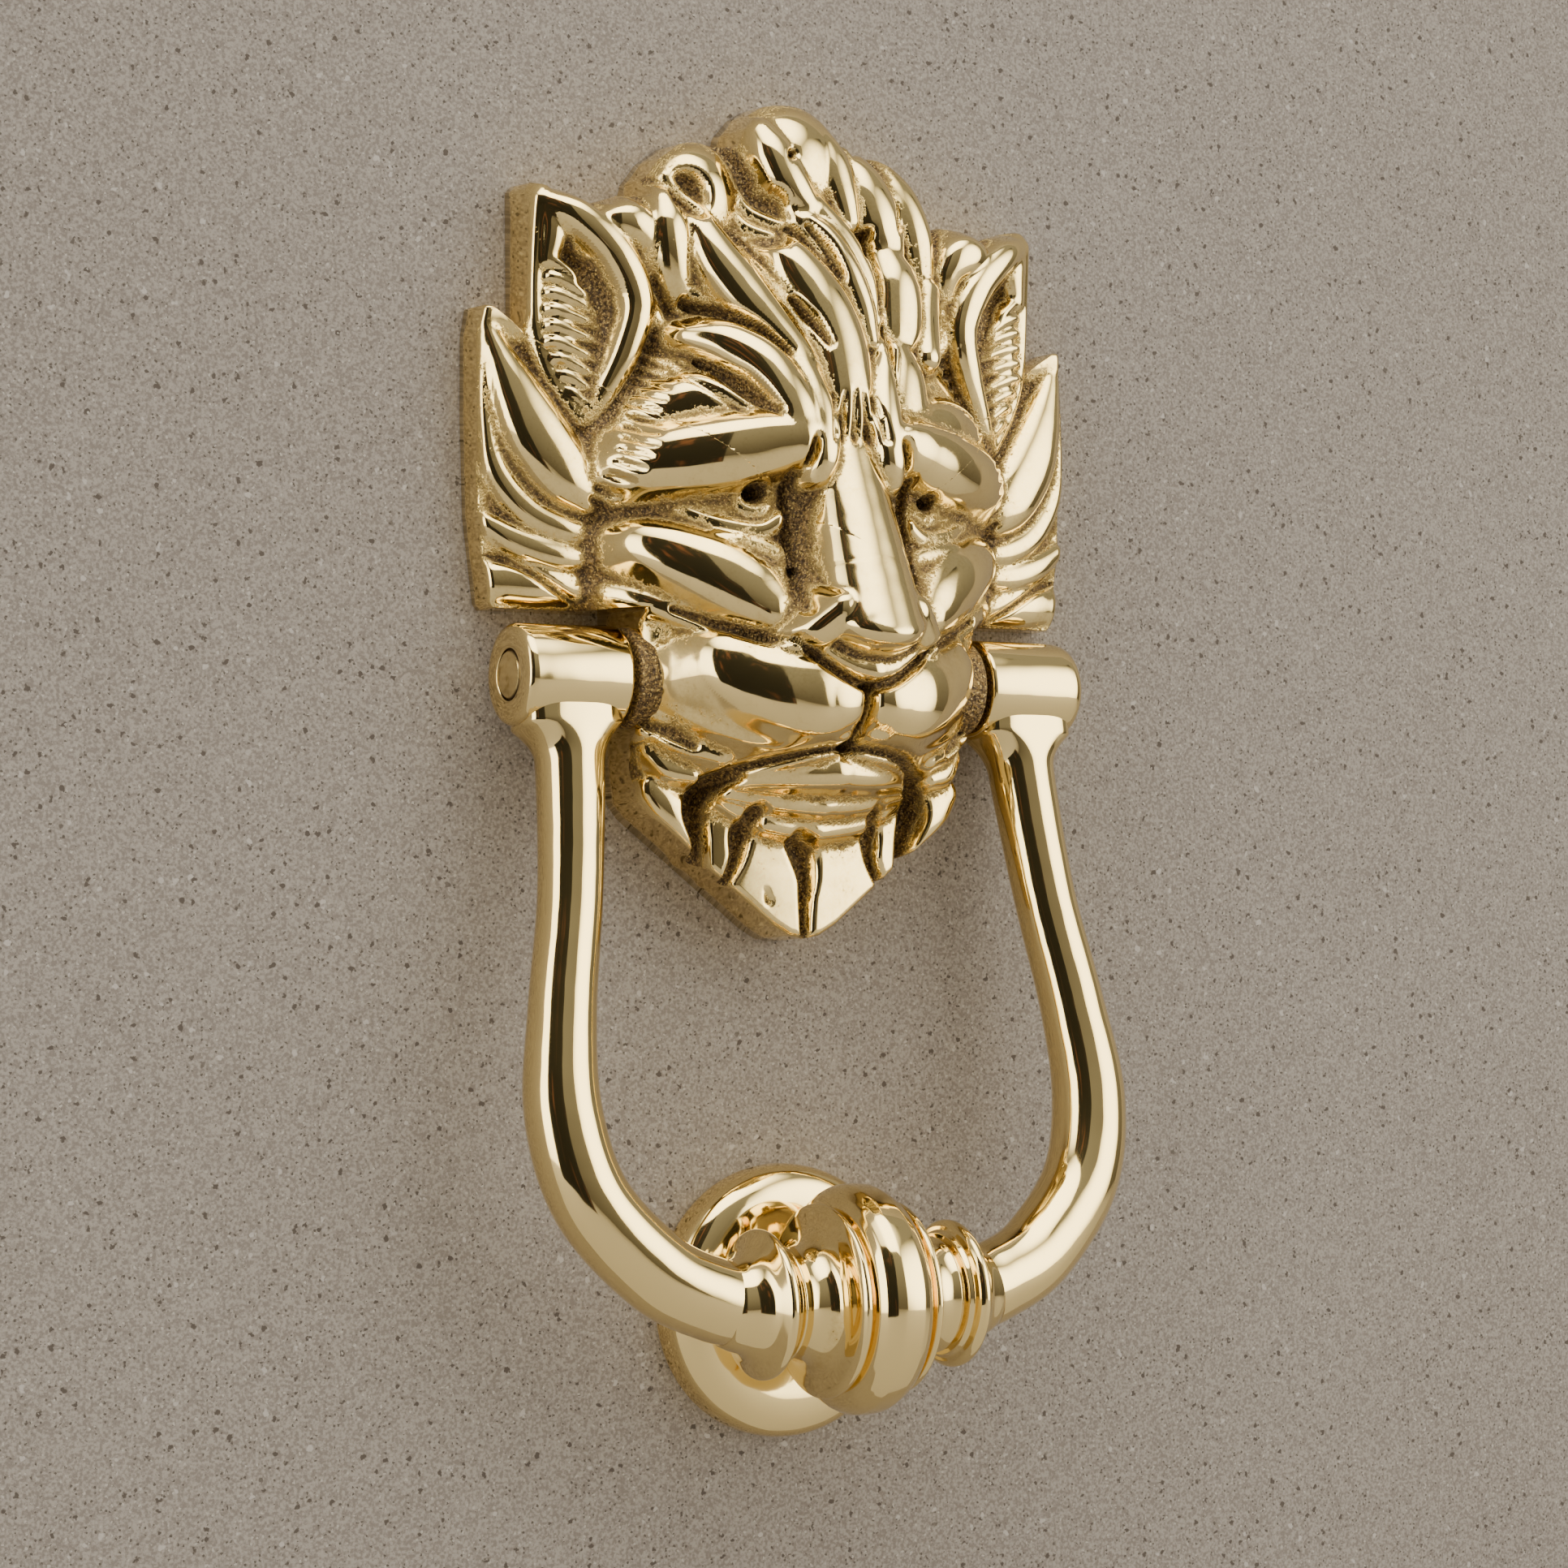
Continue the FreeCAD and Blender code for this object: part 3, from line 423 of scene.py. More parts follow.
def read_map(values, x, z):
    """Values of a map at any points, by straight lines between its four nearest cells."""
    column = np.clip((x - MAP_X[0]) / MAP_STEP, 0, len(MAP_X) - 1.001)
    row = np.clip((z - MAP_Z[0]) / MAP_STEP, 0, len(MAP_Z) - 1.001)
    i, j = row.astype(int), column.astype(int)
    f, g = row - i, column - j
    low = values[i, j] * (1 - g) + values[i, j + 1] * g
    high = values[i + 1, j] * (1 - g) + values[i + 1, j + 1] * g
    return low * (1 - f) + high * f


MASK_CELLS = 256  # cells along each side of the square that is stretched to the outline
half_outline = np.array(MASK_OUTLINE)
outline = np.vstack([half_outline, (half_outline * [-1, 1])[::-1][1:]])
steps = np.linalg.norm(np.diff(outline, axis=0), axis=1)
travelled = np.concatenate([[0], steps.cumsum()])


def rim_points(fraction):
    """Points of the outline at fractions of the way round it, from the chin, anticlockwise."""
    where = (fraction % 1.0) * travelled[-1]
    return np.stack([np.interp(where, travelled, outline[:, k]) for k in (0, 1)], -1)


def drawn_in(points, share):
    """Points of the mask's plane, drawn in towards its middle to a share of their distance from it."""
    middle = np.array(MASK_MIDDLE)
    return middle + (points - middle) * share


def square_to_mask(count):
    """A square grid pulled out to the outline: each square ring takes the outline's shape, shrunk
    towards the middle by the ring's size. Returns x, z and the ring's size for every grid point."""
    u, v = np.meshgrid(np.linspace(-1, 1, count + 1), np.linspace(-1, 1, count + 1))
    ring = np.maximum(np.maximum(np.abs(u), np.abs(v)), 1e-9)
    a, b = u / ring, v / ring
    sides = [b <= -1 + 1e-9, a >= 1 - 1e-9, b >= 1 - 1e-9]
    turn = np.select(sides, [a, 2 + b, 4 - a], 6 - b)
    place = drawn_in(rim_points(turn / 8), ring[..., None])
    return place[..., 0], place[..., 1], ring


def mesh_piece(name, points, faces, attributes=None):
    """A finished piece from points in millimetres and faces, its faces turned outward: the signed
    volume under its triangles, a sixth of the sum of a . (b x c), is made positive."""
    mesh = bpy.data.meshes.new(name)
    mesh.from_pydata((np.asarray(points) * MM).tolist(), [], [list(map(int, face)) for face in faces])
    for key, values in (attributes or {}).items():
        layer = mesh.attributes.new(key, "FLOAT", "POINT")
        layer.data.foreach_set("value", np.asarray(values, np.float32).ravel())
    mesh.calc_loop_triangles()
    corners = np.zeros(3 * len(mesh.loop_triangles), np.int32)
    mesh.loop_triangles.foreach_get("vertices", corners)
    a, b, c = (np.asarray(points)[corners.reshape(-1, 3)[:, k]] for k in range(3))
    if (a * np.cross(b, c)).sum() < 0:
        mesh.flip_normals()
    mesh.shade_smooth()
    piece = bpy.data.objects.new(name, mesh)
    bpy.context.scene.collection.objects.link(piece)
    return piece


def grid_faces(rows, columns, first=0, wrap=False):
    """The four corners of every cell of a grid of points, row by row."""
    i = np.arange(rows - 1)[:, None]
    j = np.arange(columns if wrap else columns - 1)[None, :]
    k = (j + 1) % columns
    here, above = i * columns, (i + 1) * columns
    return (first + np.stack([here + j, here + k, above + k, above + j], -1)).reshape(-1, 4)


def closed_tube(rings, ends):
    """Points and faces of a tube through rings of points, each end closed by a fan to a pole."""
    rows, count = rings.shape[:2]
    points = np.vstack([rings.reshape(-1, 3), ends])
    j = np.arange(count)
    k = (j + 1) % count
    last = (rows - 1) * count
    first_fan = np.stack([k, j, np.full(count, rows * count)], -1)
    last_fan = np.stack([last + j, last + k, np.full(count, rows * count + 1)], -1)
    return points, [*grid_faces(rows, count, wrap=True), *first_fan, *last_fan]


def rim_order(count):
    """The square grid's rim, anticlockwise from its lowest left corner."""
    line = np.arange(count)
    side = count + 1
    return np.concatenate([line, line * side + count, count * side + count - line, (count - line) * side])


def lion_mask_mesh():
    """The casting: the relief in front, a wall of slight draft round it, and the hollow back."""
    x, z, ring = square_to_mask(MASK_CELLS)
    depth = read_map(height, x, z)
    edge = np.clip((ring - 0.985) / 0.015, 0, 1)
    depth = depth - 0.7 * (1 - np.sqrt(1 - edge ** 2))
    shrink = 1 - DRAFT * np.clip((ring - 0.9) / 0.1, 0, 1)
    x, z = np.moveaxis(drawn_in(np.stack([x, z], -1), shrink[..., None]), -1, 0)
    front = np.stack([x, -depth, z], -1).reshape(-1, 3)
    stain = read_map(shelter, x, z).ravel()

    rim = rim_order(MASK_CELLS)
    count = len(rim)
    edge_points = rim_points(np.arange(count) / count - 1 / 8)
    rows = []
    for share in (0.02, 0.35, 0.7, 1.0):
        ring_x, ring_z = drawn_in(edge_points, 1 - DRAFT * (1 - share)).T
        rows.append(np.stack([ring_x, front[rim, 1] * (1 - share), ring_z], -1))
    for share in np.linspace(0.96, 0.04, BACK_RINGS):
        ring_x, ring_z = drawn_in(edge_points, share).T
        rows.append(np.stack([ring_x, -read_map(hollow_depth, ring_x, ring_z), ring_z], -1))
    back = np.vstack(rows)
    first = len(front)
    below = first + np.arange(count)
    joint = np.stack([rim, np.roll(rim, -1), np.roll(below, -1), below], -1)
    walls = grid_faces(len(rows), count, first, wrap=True)
    pole = first + len(back)
    last = first + len(back) - count + np.arange(count)
    cap = np.stack([last, np.roll(last, -1), np.full(count, pole)], -1)
    pole_point = [[MASK_MIDDLE[0], back[-count:, 1].mean(), MASK_MIDDLE[1]]]
    points = np.vstack([front, back, pole_point])
    faces = [*grid_faces(MASK_CELLS + 1, MASK_CELLS + 1), *joint[:, ::-1], *walls[:, ::-1], *cap[:, ::-1]]
    stains = np.concatenate([stain, np.full(4 * count, -3.0), np.full(BACK_RINGS * count + 1, 3.0)])
    return mesh_piece("lion_mask_casting", points, faces, {"shelter": stains})


def thinnest(values, reach):
    """Each cell's lowest neighbour within a square of that reach: shifted copies, rows then columns."""
    cells = int(reach / MAP_STEP)
    for axis in (0, 1):
        shifted = [np.roll(values, shift, axis) for shift in range(-cells, cells + 1)]
        values = np.min(shifted, axis=0)
    return values


DRAFT = 0.006  # how much smaller the mask is in front than against the door
BACK_RINGS = 26  # rings of the back, from the wall in to the middle of the hollow
away = np.maximum((np.abs(map_x) / 22.0) ** 3, (np.abs(map_z - 25.5) / 39.0) ** 3)
hollow_depth = np.clip(soften(thinnest(height, 2.6), 1.6) - 3.6, 0, 16) / (1 + np.exp(18 * (away - 1)))
mask = lion_mask_mesh()
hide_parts("lion_mask")
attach(mask, "mask")


def finish_nodes(name):
    """A new material: itself, its node tree and its main shader."""
    finish = bpy.data.materials.new(name)
    finish.use_nodes = True
    return finish, finish.node_tree, finish.node_tree.nodes["Principled BSDF"]


def add_node(tree, kind, inputs=(), **settings):
    """A shader node with its inputs set, each to a plain value or to another node's socket."""
    made = tree.nodes.new("ShaderNode" + kind)
    for key, value in settings.items():
        setattr(made, key, value)
    for key, value in inputs:
        if isinstance(value, bpy.types.NodeSocket):
            tree.links.new(value, made.inputs[key])
        else:
            made.inputs[key].default_value = value
    return made


def calc(tree, operation, a, b=0.0, c=0.0):
    """One step of arithmetic on sockets or numbers."""
    return add_node(tree, "Math", [(0, a), (1, b), (2, c)], operation=operation).outputs[0]


def fade(tree, value, low, high, to_low=0.0, to_high=1.0):
    """A smooth rise from one value to another as the input goes from low to high."""
    inputs = [("Value", value), ("From Min", low), ("From Max", high),
              ("To Min", to_low), ("To Max", to_high)]
    return add_node(tree, "MapRange", inputs, interpolation_type="SMOOTHSTEP").outputs["Result"]


def blend_colours(tree, share, low, high):
    """A colour between two, by a share."""
    made = add_node(tree, "Mix", [(0, share), (6, low), (7, high)], data_type="RGBA")
    return made.outputs[2]


def grain(tree, place, scale, detail=2.0, rough=0.5):
    """A noise from 0 to 1, its scale in features per metre."""
    inputs = [("Vector", place), ("Scale", scale), ("Detail", detail), ("Roughness", rough)]
    return add_node(tree, "TexNoise", inputs).outputs["Fac"]


BRASS = (0.88, 0.70, 0.33, 1)  # polished yellow brass, seen straight on
BRASS_DEEP = (0.58, 0.42, 0.14, 1)  # the same brass where less polishing has reached
PATINA = (0.060, 0.036, 0.020, 1)  # brown oxide and old polish in the recesses
PATINA_WARM = (0.27, 0.175, 0.065, 1)


def polished_brass(name, low, high):
    """Mirror-polished cast brass whose recesses keep their patina, by each point's own shelter."""
    finish, tree, shader = finish_nodes(name)
    place = add_node(tree, "TexCoord").outputs["Object"]
    shelter_here = add_node(tree, "Attribute", attribute_name="shelter").outputs["Fac"]
    coarse = grain(tree, place, 420.0, 3.0, 0.6)
    fine = grain(tree, place, 2100.0, 3.0, 0.65)
    ragged = calc(tree, "ADD", shelter_here, calc(tree, "MULTIPLY_ADD", coarse, 1.8, -0.9))
    ragged = calc(tree, "ADD", ragged, calc(tree, "MULTIPLY_ADD", fine, 2.0, -1.0))
    stained = fade(tree, ragged, low, high)
    dulled = fade(tree, ragged, low - 1.0, high - 0.1)
    metal = blend_colours(tree, dulled, BRASS, BRASS_DEEP)
    crust = blend_colours(tree, fade(tree, fine, 0.42, 0.62), PATINA, PATINA_WARM)
    crumbs_of_brass = fade(tree, grain(tree, place, 3300.0, 1.0), 0.60, 0.68)
    crust = blend_colours(tree, crumbs_of_brass, crust, BRASS_DEEP)
    colour = blend_colours(tree, stained, metal, crust)
    cloud = grain(tree, place, 90.0, 4.0, 0.6)
    smear = calc(tree, "MULTIPLY_ADD", cloud, 0.07, 0.035)
    roughness = calc(tree, "ADD", smear, calc(tree, "MULTIPLY", dulled, 0.14))
    roughness = calc(tree, "ADD", roughness, calc(tree, "MULTIPLY", stained, 0.30))
    metallic = calc(tree, "MULTIPLY_ADD", stained, -0.55, 1.0)
    pits = add_node(tree, "TexVoronoi", [("Vector", place), ("Scale", 1500.0)]).outputs["Distance"]
    crumbs = calc(tree, "MULTIPLY", calc(tree, "ADD", pits, fine), stained)
    bump = add_node(tree, "Bump", [("Height", crumbs), ("Distance", 0.00035), ("Strength", 0.8)])
    swell = grain(tree, place, 160.0, 1.0)
    waves = add_node(tree, "Bump", [("Height", swell), ("Distance", 0.00022), ("Strength", 0.5),
                                    ("Normal", bump.outputs[0])])
    tree.links.new(colour, shader.inputs["Base Color"])
    tree.links.new(metallic, shader.inputs["Metallic"])
    tree.links.new(roughness, shader.inputs["Roughness"])
    tree.links.new(waves.outputs[0], shader.inputs["Normal"])
    return finish


mask.data.materials.append(polished_brass("mask_brass_polished", 0.42, 1.55))


# ---------------------------------------------------------------- the hinge lugs and stud bosses
# Parts of the mask's casting: a round lug on each side of the muzzle that holds a hinge pin, and the
# bosses in the hollow back into which the studs are screwed. Cast skin, never polished.
def rounded(corners, steps=5):
    """Points along a profile of corners (along, radius, fillet). A fillet is the curve
    (1-t)^2 a + 2t(1-t) b + t^2 c, from a point a before the corner b to a point c after it."""
    corners = np.array(corners, float)
    points = [corners[0, :2]]
    for before, here, after in zip(corners[:-2], corners[1:-1], corners[2:]):
        if here[2] <= 0:
            points.append(here[:2])
            continue
        way_in, way_out = before[:2] - here[:2], after[:2] - here[:2]
        reach_in, reach_out = np.linalg.norm(way_in), np.linalg.norm(way_out)
        start = here[:2] + way_in * min(here[2] / reach_in, 0.499)
        end = here[:2] + way_out * min(here[2] / reach_out, 0.499)
        t = np.linspace(0, 1, steps)[:, None]
        points.extend((1 - t) ** 2 * start + 2 * t * (1 - t) * here[:2] + t ** 2 * end)
    points.append(corners[-1, :2])
    return np.array(points)


def turned(profile, centre, axis, across, segments=72, closed=False):
    """Points and faces of a piece turned about an axis. A profile row is (distance along the axis,
    radius). The ends close to a pole, or the profile closes on itself round a bore."""
    axis, across, centre = (np.array(v, float) for v in (axis, across, centre))
    third = np.cross(axis, across)
    turn = np.linspace(0, 2 * np.pi, segments, endpoint=False)
    ways = np.cos(turn)[:, None] * across + np.sin(turn)[:, None] * third
    points = centre + profile[:, :1, None] * axis + profile[:, 1:2, None] * ways[None]
    if not closed:
        return closed_tube(points, centre + profile[[0, -1], :1] * axis)
    j = np.arange(segments)
    k = (j + 1) % segments
    last = (len(profile) - 1) * segments
    closing = np.stack([last + j, last + k, k, j], -1)
    return points.reshape(-1, 3), [*grid_faces(len(profile), segments, wrap=True), *closing]


LUG_ENDS = (13.0, 28.2)
LUG_RADIUS = 7.0
STUD_HEIGHTS = {"upper": 48.0, "lower": -15.0}
for side in (1, -1):
    profile = rounded([(LUG_ENDS[0], 0.01, 0), (LUG_ENDS[0], LUG_RADIUS, 0.0),
                       (LUG_ENDS[1], LUG_RADIUS, 0.7), (LUG_ENDS[1], 0.01, 0)])
    points, faces = turned(profile, HINGE, (side, 0, 0), (0, 0, 1))
    lug = mesh_piece("hinge_lug_" + ("right" if side > 0 else "left"), points, faces,
                     {"shelter": np.full(len(points), 2.2)})
    lug.data.materials.append(mask.data.materials[0])
    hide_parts("lion_mask")
    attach(lug, "mask")
for which, boss_depth in (("upper", 16.5), ("lower", 4.0)):
    profile = rounded([(0.0, 0.01, 0), (0.0, 6.5, 0.6), (boss_depth, 7.2, 0), (boss_depth, 0.01, 0)])
    points, faces = turned(profile, (0, 0, STUD_HEIGHTS[which]), (0, -1, 0), (1, 0, 0))
    boss = mesh_piece("stud_boss_" + which, points, faces, {"shelter": np.full(len(points), 1.6)})
    boss.data.materials.append(mask.data.materials[0])
    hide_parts("lion_mask")
    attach(boss, "mask")

# ---------------------------------------------------------------- the bail
# The swinging casting: a boss at each end of a bent rod, which thickens into the bends and meets a
# turned ornament at the bottom. One brass casting, polished all over, hung on two hinge pins.
TILT = math.radians(9.87)  # the ornament rests on the strike plate
DOWN = np.array([0.0, -math.sin(TILT), -math.cos(TILT)])
OUT = np.array([0.0, -math.cos(TILT), math.sin(TILT)])
ACROSS = np.array([1.0, 0.0, 0.0])
BAIL_LENGTH = 86.9  # from the hinge axis to the ornament's
BOSS_ENDS = (29.1, 45.1)
BOSS_RADIUS = 7.1
BORE_RADIUS = 3.55
# Distance from the centreline, distance down from the hinge axis, radius.
ARM_STATIONS = [
    (36.8, 4.2, 5.2), (36.9, 13.5, 4.8), (38.5, 30.5, 4.5), (41.2, 46.5, 4.7), (42.3, 60.0, 5.3),
    (39.2, 72.0, 5.5), (30.5, 81.7, 5.6), (22.6, 85.7, 5.7), (17.6, 86.8, 5.8), (13.4, 86.9, 5.6),
]


def boss_points(side):
    """One hinge boss, a tube with its real bore, the outer rim well rounded."""
    outer_round = 3.0 if side > 0 else 1.4
    near, far = BOSS_ENDS
    profile = rounded([(near, 5.2, 0), (near, BOSS_RADIUS, 0.7), (far, BOSS_RADIUS, outer_round),
                       (far, BORE_RADIUS, 0.35), (near, BORE_RADIUS, 0.3), (near, 5.2, 0)])
    return turned(profile[:-1], HINGE, (side, 0, 0), DOWN, segments=96, closed=True)


def arm_points(side):
    """One arm: a curve through its stations with a section of |x/a|^n + |v/b|^n = 1, whose n falls
    from 3.6 to 2 and whose width a falls to the rod's radius as it leaves the boss."""
    stations = np.array(ARM_STATIONS)
    run = through(np.hstack([stations, np.zeros((len(stations), 1))]), 0.55)
    centre, radius = run[:, :2], run[:, 2]
    along = np.gradient(centre, axis=0)
    along /= np.linalg.norm(along, axis=1)[:, None]
    sideways = np.stack([along[:, 1], -along[:, 0]], -1)
    down = centre[:, 1]
    flare = np.clip((12.2 - down) / 5.2, 0, 1) ** 2.2
    wide = np.minimum(radius + 2.5 * flare, 7.4)
    power = 2 + 1.6 * flare
    turn = np.linspace(0, 2 * np.pi, 56, endpoint=False)
    cos, sin = np.cos(turn), np.sin(turn)
    section_a = np.sign(cos) * np.abs(cos) ** (2 / power[:, None]) * wide[:, None]
    section_b = np.sign(sin) * np.abs(sin) ** (2 / power[:, None]) * radius[:, None]
    x = centre[:, :1] + sideways[:, :1] * section_a
    u = centre[:, 1:] + sideways[:, 1:] * section_a
    rings = np.array(HINGE) + side * x[..., None] * ACROSS + u[..., None] * DOWN + section_b[..., None] * OUT
    return closed_tube(rings, [rings[0].mean(axis=0), rings[-1].mean(axis=0)])


# Half of the ornament's turned profile: distance from the middle, radius, fillet.
ORNAMENT = [
    (0.0, 15.8, 0), (1.5, 15.7, 0.3), (2.6, 15.2, 0.3), (3.5, 14.5, 0.3), (4.2, 13.5, 0.3),
    (4.5, 12.6, 0.3), (4.7, 12.0, 0.15), (4.95, 12.0, 0.15), (5.1, 13.2, 0.25), (5.9, 13.3, 0.3),
    (6.4, 12.4, 0.3), (6.9, 10.2, 0.7), (7.8, 8.6, 0.8), (9.4, 7.7, 1.0), (11.2, 7.6, 0.8),
    (12.4, 8.1, 0.3), (12.7, 7.3, 0.15), (13.0, 7.4, 0.15), (13.2, 8.5, 0.2), (13.9, 8.7, 0.2),
    (14.2, 9.6, 0.3), (14.8, 10.2, 0.3), (15.6, 10.2, 0.4), (16.2, 9.2, 0.5), (17.0, 7.8, 0.7),
    (18.4, 6.6, 0.8), (20.2, 6.0, 0.6), (21.4, 5.3, 0.0),
]
ORNAMENT_SEGMENTS = 120


def ornament_points():
    """The turned ornament: its half profile mirrored about the middle."""
    half = rounded(ORNAMENT)
    profile = np.vstack([half[::-1] * [-1, 1], half[1:]])
    centre = np.array(HINGE) + BAIL_LENGTH * DOWN
    points, faces = turned(profile, centre, ACROSS, OUT, segments=ORNAMENT_SEGMENTS)
    along, radius = profile.T
    wide = np.interp(along[:, None] + np.linspace(-2.6, 2.6, 21), along, radius).mean(axis=1)
    sheltered = (wide - radius) * 1.3 - 1.1
    return points, faces, np.concatenate([np.repeat(sheltered, ORNAMENT_SEGMENTS), [-3.0, -3.0]])


bail_brass = polished_brass("bail_brass_polished", 0.7, 1.9)
for name, made in (
    ("bail_boss_right", boss_points(1)), ("bail_boss_left", boss_points(-1)),
    ("bail_arm_right", arm_points(1)), ("bail_arm_left", arm_points(-1)),
    ("bail_ornament", ornament_points()),
):
    points, faces = made[:2]
    shelters = made[2] if len(made) > 2 else np.full(len(points), -1.6)
    piece = mesh_piece(name, points, faces, {"shelter": shelters})
    piece.data.materials.append(bail_brass)
    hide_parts("knocker_bail")
    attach(piece, "bail")

# ---------------------------------------------------------------- the hinge pins
# Two plain brass pins, pressed into the lugs and dressed flush with the bosses. Drawn brass, turned
# and polished with the bosses, dark round the rim. The bare pins are right as they are and only take
# their finish here.
for side in ("right", "left"):
    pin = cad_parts["hinge_pin_" + side]
    finish, tree, shader = finish_nodes("pin_brass_" + side)
    place = add_node(tree, "TexCoord").outputs["Object"]
    off_axis = add_node(tree, "VectorMath", [(0, place), (1, (0.0, 1.0, 1.0))],
                        operation="MULTIPLY").outputs[0]
    from_axis = add_node(tree, "VectorMath", [(0, off_axis), (1, (0.0, HINGE[1] * MM, 0.0))],
                         operation="DISTANCE").outputs["Value"]
    metal = blend_colours(tree, fade(tree, grain(tree, place, 700.0), 0.5, 0.8), BRASS, BRASS_DEEP)
    tree.links.new(blend_colours(tree, fade(tree, from_axis, 0.0030, 0.0033), metal, PATINA),
                   shader.inputs["Base Color"])
    shader.inputs["Metallic"].default_value = 1.0
    roughness = calc(tree, "MULTIPLY_ADD", grain(tree, place, 150.0), 0.1, 0.12)
    tree.links.new(roughness, shader.inputs["Roughness"])
    for slot_here in pin.material_slots:
        slot_here.material = finish

# ---------------------------------------------------------------- the strike plate
# The round brass button that the ornament knocks on: a thick disc with a full rounded rim and a
# faintly dished face, cast and polished, its stud screwed in from behind.
PLATE_HEIGHT = -87.2
profile = rounded([(0.0, 0.01, 0), (0.0, 18.9, 0.3), (1.0, 19.3, 0.8), (4.6, 19.2, 2.2),
                   (6.6, 17.4, 2.2), (7.3, 14.6, 2.0), (7.0, 9.0, 3.0), (6.9, 0.01, 0)], steps=7)
points, faces = turned(profile, (0, 0, PLATE_HEIGHT), (0, -1, 0), (1, 0, 0), segments=128)
plate = mesh_piece("strike_plate_disc", points, faces, {"shelter": np.full(len(points), -1.4)})
plate.data.materials.append(polished_brass("strike_brass_polished", 0.7, 1.9))
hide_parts("strike_plate")
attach(plate, "mask")

# ---------------------------------------------------------------- the studs, washers and dome nuts
# Zinc plated steel studs with rolled threads at both ends, plain washers against the inside of the
# door, and closed brass dome nuts, so that nothing sharp shows on the room side.
DOOR = 44.0  # the door's thickness
STUD_END = DOOR + 9.0  # inside the dome nuts


def zinc_steel():
    """Bright zinc plate over steel: pale grey, a little cloudy, with a faint straw cast."""
    finish, tree, shader = finish_nodes("zinc_plated_steel")
    place = add_node(tree, "TexCoord").outputs["Object"]
    cloud = grain(tree, place, 260.0, 4.0)
    colour = blend_colours(tree, cloud, (0.50, 0.50, 0.48, 1), (0.66, 0.65, 0.60, 1))
    tree.links.new(colour, shader.inputs["Base Color"])
    shader.inputs["Metallic"].default_value = 1.0
    tree.links.new(calc(tree, "MULTIPLY_ADD", cloud, 0.2, 0.22), shader.inputs["Roughness"])
    return finish


def stud_points(height, front):
    """A stud: its thread's radius is 3.0 - 0.55 |saw|, the saw running once round in each pitch."""
    pitch = 1.0
    along = np.concatenate([np.arange(-front, 0.01, 0.125), np.linspace(1.0, DOOR - 1.0, 12),
                            np.arange(DOOR, STUD_END, 0.125)])
    turn = np.linspace(0, 2 * np.pi, 32, endpoint=False)
    saw = 2 * np.abs((along[:, None] / pitch - turn / (2 * np.pi)) % 1.0 - 0.5)
    threaded = ((along < 0.5) | (along > DOOR - 0.5))[:, None]
    radius = np.where(threaded, 3.0 - 0.55 * saw, 3.0)
    ends = np.minimum(along + front, STUD_END - along)[:, None]
    radius = radius - 0.6 * np.clip(1 - ends / 0.8, 0, 1)
    x = radius * np.cos(turn)
    z = height + radius * np.sin(turn)
    rings = np.stack([x, np.broadcast_to(along[:, None], x.shape), z], -1)
    return closed_tube(rings, [[0, along[0], height], [0, along[-1], height]])


WASHER_THICK = 1.6


def nut_points(height):
    """A dome nut: a hexagon whose corners are turned off by a cone, then a neck and a half ball.
    Across the flats the radius is 5.0 / cos(the angle from the nearest flat's middle)."""
    profile = rounded([(0.0, 3.1, 0), (0.0, 4.9, 0), (0.5, 5.77, 0), (4.5, 5.77, 0), (5.0, 4.9, 0),
                       (5.05, 4.7, 0.0), (7.3, 4.7, 0)])
    quarter = np.linspace(0, np.pi / 2 - 0.01, 9)[1:]
    profile = np.vstack([profile, np.stack([7.3 + 4.7 * np.sin(quarter), 4.7 * np.cos(quarter)], -1)])
    inside = [(7.4, 0.01), (7.4, 3.1)]
    profile = np.vstack([inside, profile])
    turn = np.linspace(0, 2 * np.pi, 72, endpoint=False)
    flat = 5.0 / np.cos((turn + np.pi / 6) % (np.pi / 3) - np.pi / 6)
    radius = np.minimum(profile[:, 1:2], np.where(profile[:, 1:2] > 4.75, flat, 99.0))
    along = np.broadcast_to(profile[:, :1], radius.shape)
    seat = DOOR + WASHER_THICK
    rings = np.stack([radius * np.cos(turn), seat + along, height + radius * np.sin(turn)], -1)
    return closed_tube(rings, [[0, seat + profile[0, 0], height], [0, seat + profile[-1, 0], height]])


steel = zinc_steel()
nut_brass = polished_brass("nut_brass_polished", 0.7, 1.9)
for which, stud_node, stud_height, front in (
    ("upper", "mask_stud_upper", STUD_HEIGHTS["upper"], 9.0),
    ("lower", "mask_stud_lower", STUD_HEIGHTS["lower"], 9.0),
    ("strike", "strike_stud", PLATE_HEIGHT, 5.0),
):
    points, faces = stud_points(stud_height, front)
    rod = mesh_piece("threaded_stud_" + which, points, faces)
    rod.data.materials.append(steel)
    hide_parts(stud_node)
    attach(rod, "mask")
    profile = rounded([(0.0, 6.0, 0), (0.0, 9.0, 0.25), (WASHER_THICK, 9.0, 0.5), (WASHER_THICK, 3.2, 0.2),
                       (0.0, 3.2, 0.2), (0.0, 6.0, 0)])
    points, faces = turned(profile[:-1], (0, DOOR, stud_height), (0, 1, 0), (1, 0, 0), closed=True)
    ring = mesh_piece("flat_washer_" + which, points, faces)
    ring.data.materials.append(steel)
    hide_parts("washer_" + which)
    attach(ring, "mask")
    points, faces = nut_points(stud_height)
    nut = mesh_piece("closed_dome_nut_" + which, points, faces, {"shelter": np.full(len(points), -1.2)})
    nut.data.materials.append(nut_brass)
    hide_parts("dome_nut_" + which)
    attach(nut, "mask")

